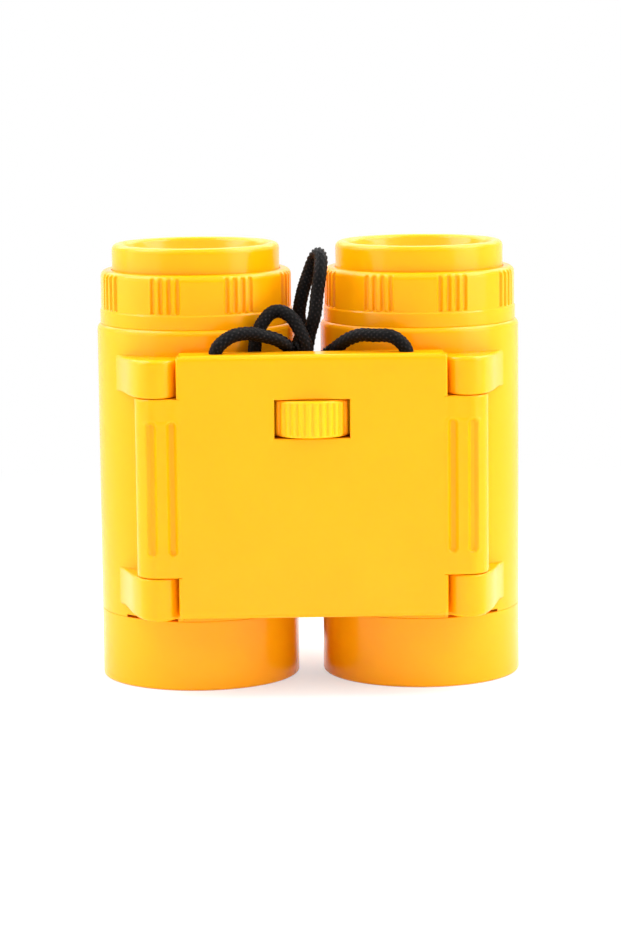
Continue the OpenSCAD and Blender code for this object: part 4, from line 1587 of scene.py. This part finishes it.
@dataclass
class Bridge:
    """Bridge box with its rounded front plate, middle knuckles, finger grooves and wheel window."""

    layout: Layout
    finishes: Finishes
    half: float = 26.5
    back: float = 21.4
    plate_back: float = 25.9965
    wall: float = 1.8
    plate_fillet: float = 1.1
    plate_lip: float = 0.45
    lip_slope: float = 0.5
    front_band: float = 0.35
    side_fillet: float = 0.5
    wall_fillet: float = 0.4
    back_fillet: float = 0.3
    tab_fillet: float = 0.45
    finger_x: tuple[float, float] = (28.0, 32.0)
    finger_w: float = 1.4
    finger_l: float = 26.5
    finger_depth: float = 0.6
    finger_edge: tuple[float, float] = (0.3, 0.35)
    finger_lip: float = 0.13
    lip_out: float = 0.5
    lip_w: float = 0.3
    window_half: float = 7.535
    window_h: float = 7.8
    window_fillet: float = 0.3
    wheel_z: float = 56.4
    cord_hole_r: float = 1.45
    pin_bore: float = 1.28
    bore_columns: int = 40
    hole_past: float = 0.5
    cut_past: float = 1.0
    plain_x: tuple[float, ...] = (0.0, 3.0, 11.0, 15.0, 19.0, 22.5, 25.0)
    plain_z: tuple[float, ...] = (32.0, 35.0, 38.0, 41.0, 44.0, 47.0, 50.0)
    foot_z: float = 20.5
    head_z: float = 64.5
    plate_step: float = 2.0
    tab_step: float = 0.4
    back_half: float = 24.0
    edge_lines: tuple[float, ...] = (-0.9, -0.45, -0.3, -0.15, 0.0)
    back_lines: tuple[float, ...] = (0.3, -0.3, -0.9)
    slot_lines: tuple[float, ...] = (0.2, 0.4, 0.55, 0.7, 0.85, 1.0, 1.2)
    tip_lines: tuple[float, ...] = (-1.5, -0.6, 0.0)
    rim_lines: tuple[float, ...] = (-0.6, -0.1, 0.03, 0.08, 0.15, 0.22, 0.3, 0.6)

    def build(self) -> None:
        """Makes and dresses the front cover."""
        piece = mesh_object("bridge_front_moulding", self.skin())
        self.cut_openings(piece)
        dress(piece, self.finishes.yellow, "bridge", ["bridge_front_cover"])

    @property
    def finger_z(self) -> float:
        """Height of the middle of the knuckles and of their finger grooves."""
        return (self.layout.tab_low + self.layout.tab_top) / 2.0

    @property
    def finger_reach(self) -> float:
        """How far the straight part of a finger groove runs up and down from its middle."""
        return (self.finger_l - self.finger_w) / 2.0

    def front_lines(self) -> np.ndarray:
        """Places across the flat front, close together at the rounded rim of the window."""
        half = np.sort(np.concatenate([self.plain_x, self.window_half + np.array(self.rim_lines)]))
        return np.concatenate([-half[:0:-1], half])

    def tab_end(self) -> np.ndarray:
        """Right end of the plan through a middle knuckle, from the flat front round the hinge to the back.

        Returns:
            (x, y) points, close together across both finger grooves.
        """
        size = self.layout
        near = np.concatenate([-np.array(self.slot_lines)[::-1], [0.0], self.slot_lines])
        inner, outer = (centre + near for centre in self.finger_x)
        is_flat = outer < size.hinge_x
        start = self.half + np.array(self.edge_lines)
        flat = np.concatenate([start, inner, [np.mean(self.finger_x)], outer[is_flat]])
        groove = np.arcsin((outer[~is_flat] - size.hinge_x) / size.knuckle_r) - math.pi / 2.0
        meet = math.pi - math.asin((size.hinge_dy - self.back) / size.knuckle_r)
        angles = np.concatenate([groove, np.linspace(groove[-1], meet, 34)[1:]])
        hinge = np.array([size.hinge_x, -size.hinge_dy])
        bend = hinge + size.knuckle_r * np.stack([np.cos(angles), np.sin(angles)], -1)
        back = row(self.half + np.array(self.back_lines), -self.back)
        return np.concatenate([row(flat, -size.plate_front), bend, back])

    def box_end(self, count: int) -> np.ndarray:
        """Right end of the plan through the plain box: the plate's edge stands proud of the side wall.

        Args:
            count: number of points.

        Returns:
            (x, y) points from the flat front to the back.
        """
        front, fillet, small = -self.layout.plate_front, self.side_fillet, self.back_fillet
        edge, start = self.half + self.plate_lip, self.half + self.edge_lines[0]
        path = np.concatenate(
            [
                [[start, front]],
                arc((edge - fillet, front + fillet), fillet, -math.pi / 2.0, 0.0, 8),
                [[edge, -self.plate_back - self.lip_slope], [self.half, -self.plate_back]],
                arc((self.half - small, -self.back - small), small, 0.0, math.pi / 2.0, 6),
                [[start, -self.back]],
            ]
        )
        return along(path, np.linspace(0.0, 1.0, count))

    def plan(self, end: np.ndarray) -> np.ndarray:
        """Closed plan outline: front from left to right, right end, back, left end.

        Args:
            end: (x, y) points of the right end.

        Returns:
            The outline.
        """
        front = row(self.front_lines(), -self.layout.plate_front)
        back = row(np.linspace(self.back_half, -self.back_half, 13), -self.back)
        return np.concatenate([front, end, back, (end * [-1.0, 1.0])[::-1]])

    def levels(self) -> tuple[np.ndarray, np.ndarray]:
        """Heights of the rings, close together where an edge, a groove's end or the window needs them.

        Returns:
            The heights from the bottom up, and whether each ring passes through the middle knuckles.
        """
        size = self.layout
        low, top, tab_low, tab_top = size.bridge_low, size.bridge_top, size.tab_low, size.tab_top
        rise = 1.0 - np.cos(np.linspace(0.0, np.pi / 2.0, 7))
        plate, edge = self.plate_fillet * rise, self.tab_fillet * rise[::2]
        tip = self.finger_reach + np.array(self.tip_lines + self.slot_lines)
        rim = self.window_h / 2.0 + np.array(self.rim_lines)
        ends = [tab_low + edge, tab_top - edge, self.finger_z - tip, self.finger_z + tip]
        tabs = np.concatenate([*ends, self.wheel_z - rim, self.wheel_z + rim, self.plain_z])
        tabs = np.unique(np.round(tabs[(tabs >= tab_low) & (tabs <= tab_top)], 4))
        foot = [low + self.plate_step, self.foot_z, tab_low - self.tab_step, tab_low]
        head = [tab_top, tab_top + self.tab_step, self.head_z, top - self.plate_step]
        below, above = np.concatenate([low + plate, foot]), np.concatenate([head, (top - plate)[::-1]])
        through_tab = np.repeat([False, True, False], [len(below), len(tabs), len(above)])
        return np.concatenate([below, tabs, above]), through_tab

    def finger_grooves(self, x: np.ndarray, z: np.ndarray) -> np.ndarray:
        """Depth of the finger grooves: a smooth step down into a round-ended slot with a soft raised lip.

        Args:
            x: distances from the middle.
            z: heights.

        Returns:
            The depths.
        """
        half = self.finger_w / 2.0
        low, high = half - self.finger_edge[0], half + self.finger_edge[1]
        past = np.maximum(np.abs(z - self.finger_z) - self.finger_reach, 0.0)
        slots = [np.hypot(x - centre, past) for centre in self.finger_x]
        floors = [self.finger_depth * (1.0 - smooth_rise(low, high, slot)) for slot in slots]
        lip_at = half + self.lip_out
        lips = [self.finger_lip * np.exp(-(((slot - lip_at) / self.lip_w) ** 2)) for slot in slots]
        return sum(floors) - sum(lips)

    def window_rim(self, x: np.ndarray, z: np.ndarray) -> np.ndarray:
        """Depth of the rounded edge round the wheel's window.

        Args:
            x: distances from the middle.
            z: heights.

        Returns:
            The depths.
        """
        out_x = np.maximum(x - self.window_half, 0.0)
        out_z = np.maximum(np.abs(z - self.wheel_z) - self.window_h / 2.0, 0.0)
        return edge_drop(np.hypot(out_x, out_z), self.window_fillet)

    def skin(self) -> Shape:
        """Outer skin of the cover, lofted from plan outlines stacked up the bridge.

        A ring is the plan through the middle knuckles or through the plain box, and each of its points is
        drawn in along the plan's normal by the rounding of the edges, the finger grooves and the window's
        rim. Flat faces close the bottom and the top.

        Returns:
            The closed solid, still without its hollow.
        """
        size, front = self.layout, -self.layout.plate_front
        end = self.tab_end()
        plans = np.stack([self.plan(self.box_end(len(end))), self.plan(end)])
        normals = np.stack([outline_normals(plan) for plan in plans])
        heights, through_tab = self.levels()
        ring = through_tab.astype(int)
        x, y = np.abs(plans[ring, :, 0]), plans[ring, :, 1]
        z, tab = heights[:, None], through_tab[:, None]
        fillet = np.where(y < front + self.side_fillet, self.plate_fillet, self.wall_fillet)
        box_draw = edge_drop(np.minimum(z - size.bridge_low, size.bridge_top - z), fillet)
        to_tab_end = np.minimum(z - size.tab_low, size.tab_top - z)
        tab_draw = edge_drop(np.hypot(np.maximum(self.half - x, 0.0), to_tab_end), self.tab_fillet)
        draw = np.where(tab, tab_draw, box_draw)
        draw = draw + np.where(y < front + self.front_band, self.window_rim(x, z), 0.0)
        draw = draw + np.where(tab & (y < -size.hinge_dy), self.finger_grooves(x, z), 0.0)
        rings = lifted(plans[ring] - draw[..., None] * normals[ring], heights)
        return moved(stacked(rings), [0.0, size.barrel_y, 0.0])

    def cut_openings(self, piece: bpy.types.Object) -> None:
        """Cuts the hollow behind the plate, the wheel's window, both cord holes and the pin bores.

        Args:
            piece: the solid cover.
        """
        size, top = self.layout, self.layout.bridge_top
        middle = [0.0, size.barrel_y, 0.0]
        inner, window_reach = self.half - self.wall, self.window_h / 2.0
        hollow = block(
            [-inner, -self.plate_back, size.bridge_low + self.wall],
            [inner, -self.back + self.cut_past, top - self.wall],
        )
        window = block(
            [-self.window_half, -size.plate_front - self.cut_past, self.wheel_z - window_reach],
            [self.window_half, -self.plate_back + self.cut_past, self.wheel_z + window_reach],
        )
        hole_low, hole_high = top - self.wall - self.hole_past, top + self.hole_past
        hole = bar(self.cord_hole_r, hole_low, hole_high, self.bore_columns)
        bore_low, bore_high = size.tab_low - self.cut_past, size.tab_top + self.cut_past
        bore = bar(self.pin_bore, bore_low, bore_high, self.bore_columns)
        carve(piece, moved(hollow, middle))
        carve(piece, moved(window, middle))
        for side in Side:
            carve(piece, moved(hole, size.ahead(side, size.cord_hole_x, size.cord_hole_dy)))
            carve(piece, moved(bore, size.hinge(side)))


@dataclass
class FocusWheel:
    """Ribbed thumb wheel that stands out of the bridge's window."""

    finishes: Finishes
    radius: float = 8.6
    height: float = 7.4
    bevel: float = 0.7
    bore_r: float = 1.47
    bore_fillet: float = 0.2
    wall_inset: float = 1.0
    ribs: int = 36
    rib_columns: int = 12
    notch_depth: float = 0.34
    notch_wall: tuple[float, float] = (0.75, 0.1)
    notch_ends: tuple[float, float] = (0.75, 0.25)

    def build(self) -> None:
        """Makes and dresses the wheel.

        Its notches are a change of radius: a raised cosine, squared, round the wheel, that fades out at both
        ends.
        """
        half = self.height / 2.0
        fillets = [self.bore_fillet, self.bevel, self.bevel, self.bore_fillet]
        corners = rectangle((self.bore_r, -half), (self.radius, half), fillets, 8)
        profile = walled(corners, self.radius, np.linspace(self.wall_inset - half, half - self.wall_inset, 5))
        angles = even_angles(self.ribs * self.rib_columns)
        notch = (0.5 + 0.5 * np.cos(self.ribs * (angles + np.pi / 2.0))) ** 2
        wall_in, wall_out = (self.radius - depth for depth in self.notch_wall)
        end_in, end_out = (half - depth for depth in self.notch_ends)
        near_rim = smooth_rise(wall_in, wall_out, profile[:, 0])
        fade = 1.0 - smooth_rise(end_in, end_out, np.abs(profile[:, 1]))
        relief = -self.notch_depth * (near_rim * fade)[:, None] * notch[None]
        centre = sum(node_box("focus_wheel")) / 2.0
        piece = mesh_object("thumb_wheel", moved(revolved(profile, angles, relief), centre))
        # the lighter copy of the yellow plastic paints extra light onto the wheel
        dress(piece, self.finishes.pale, "wheel", ["focus_wheel"])


@dataclass
class CarriedNodes:
    """CAD nodes whose shape is right as it is and that only get a finish."""

    finishes: Finishes

    def build(self) -> None:
        """Assigns the finishes."""
        steel_nodes = ["bridge_screws", "wheel_axle", "left_hinge_pin", "right_hinge_pin"]
        plan = {"bridge_rear_cover": self.finishes.yellow} | dict.fromkeys(steel_nodes, self.finishes.steel)
        for name, finish in plan.items():
            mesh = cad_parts[name].data
            mesh.materials.clear()
            mesh.materials.append(finish.material)
            LOG.info("%s: carried over with %s", name, finish.material.name)


def main() -> None:
    """Builds the studio and every sub-assembly in order, and reports each piece."""
    logging.basicConfig(level=logging.INFO, format="%(name)s: %(message)s")
    layout = Layout.from_frame()
    Studio().build()
    finishes = Finishes.mixed()
    NeckCord(layout, finishes).build()
    Bridge(layout, finishes).build()
    FocusWheel(finishes).build()
    for side in Side:
        Barrel(layout, finishes, side).build()
        Eyepiece(layout, finishes, side).build()
    CarriedNodes(finishes).build()


if __name__ == "__main__":
    main()
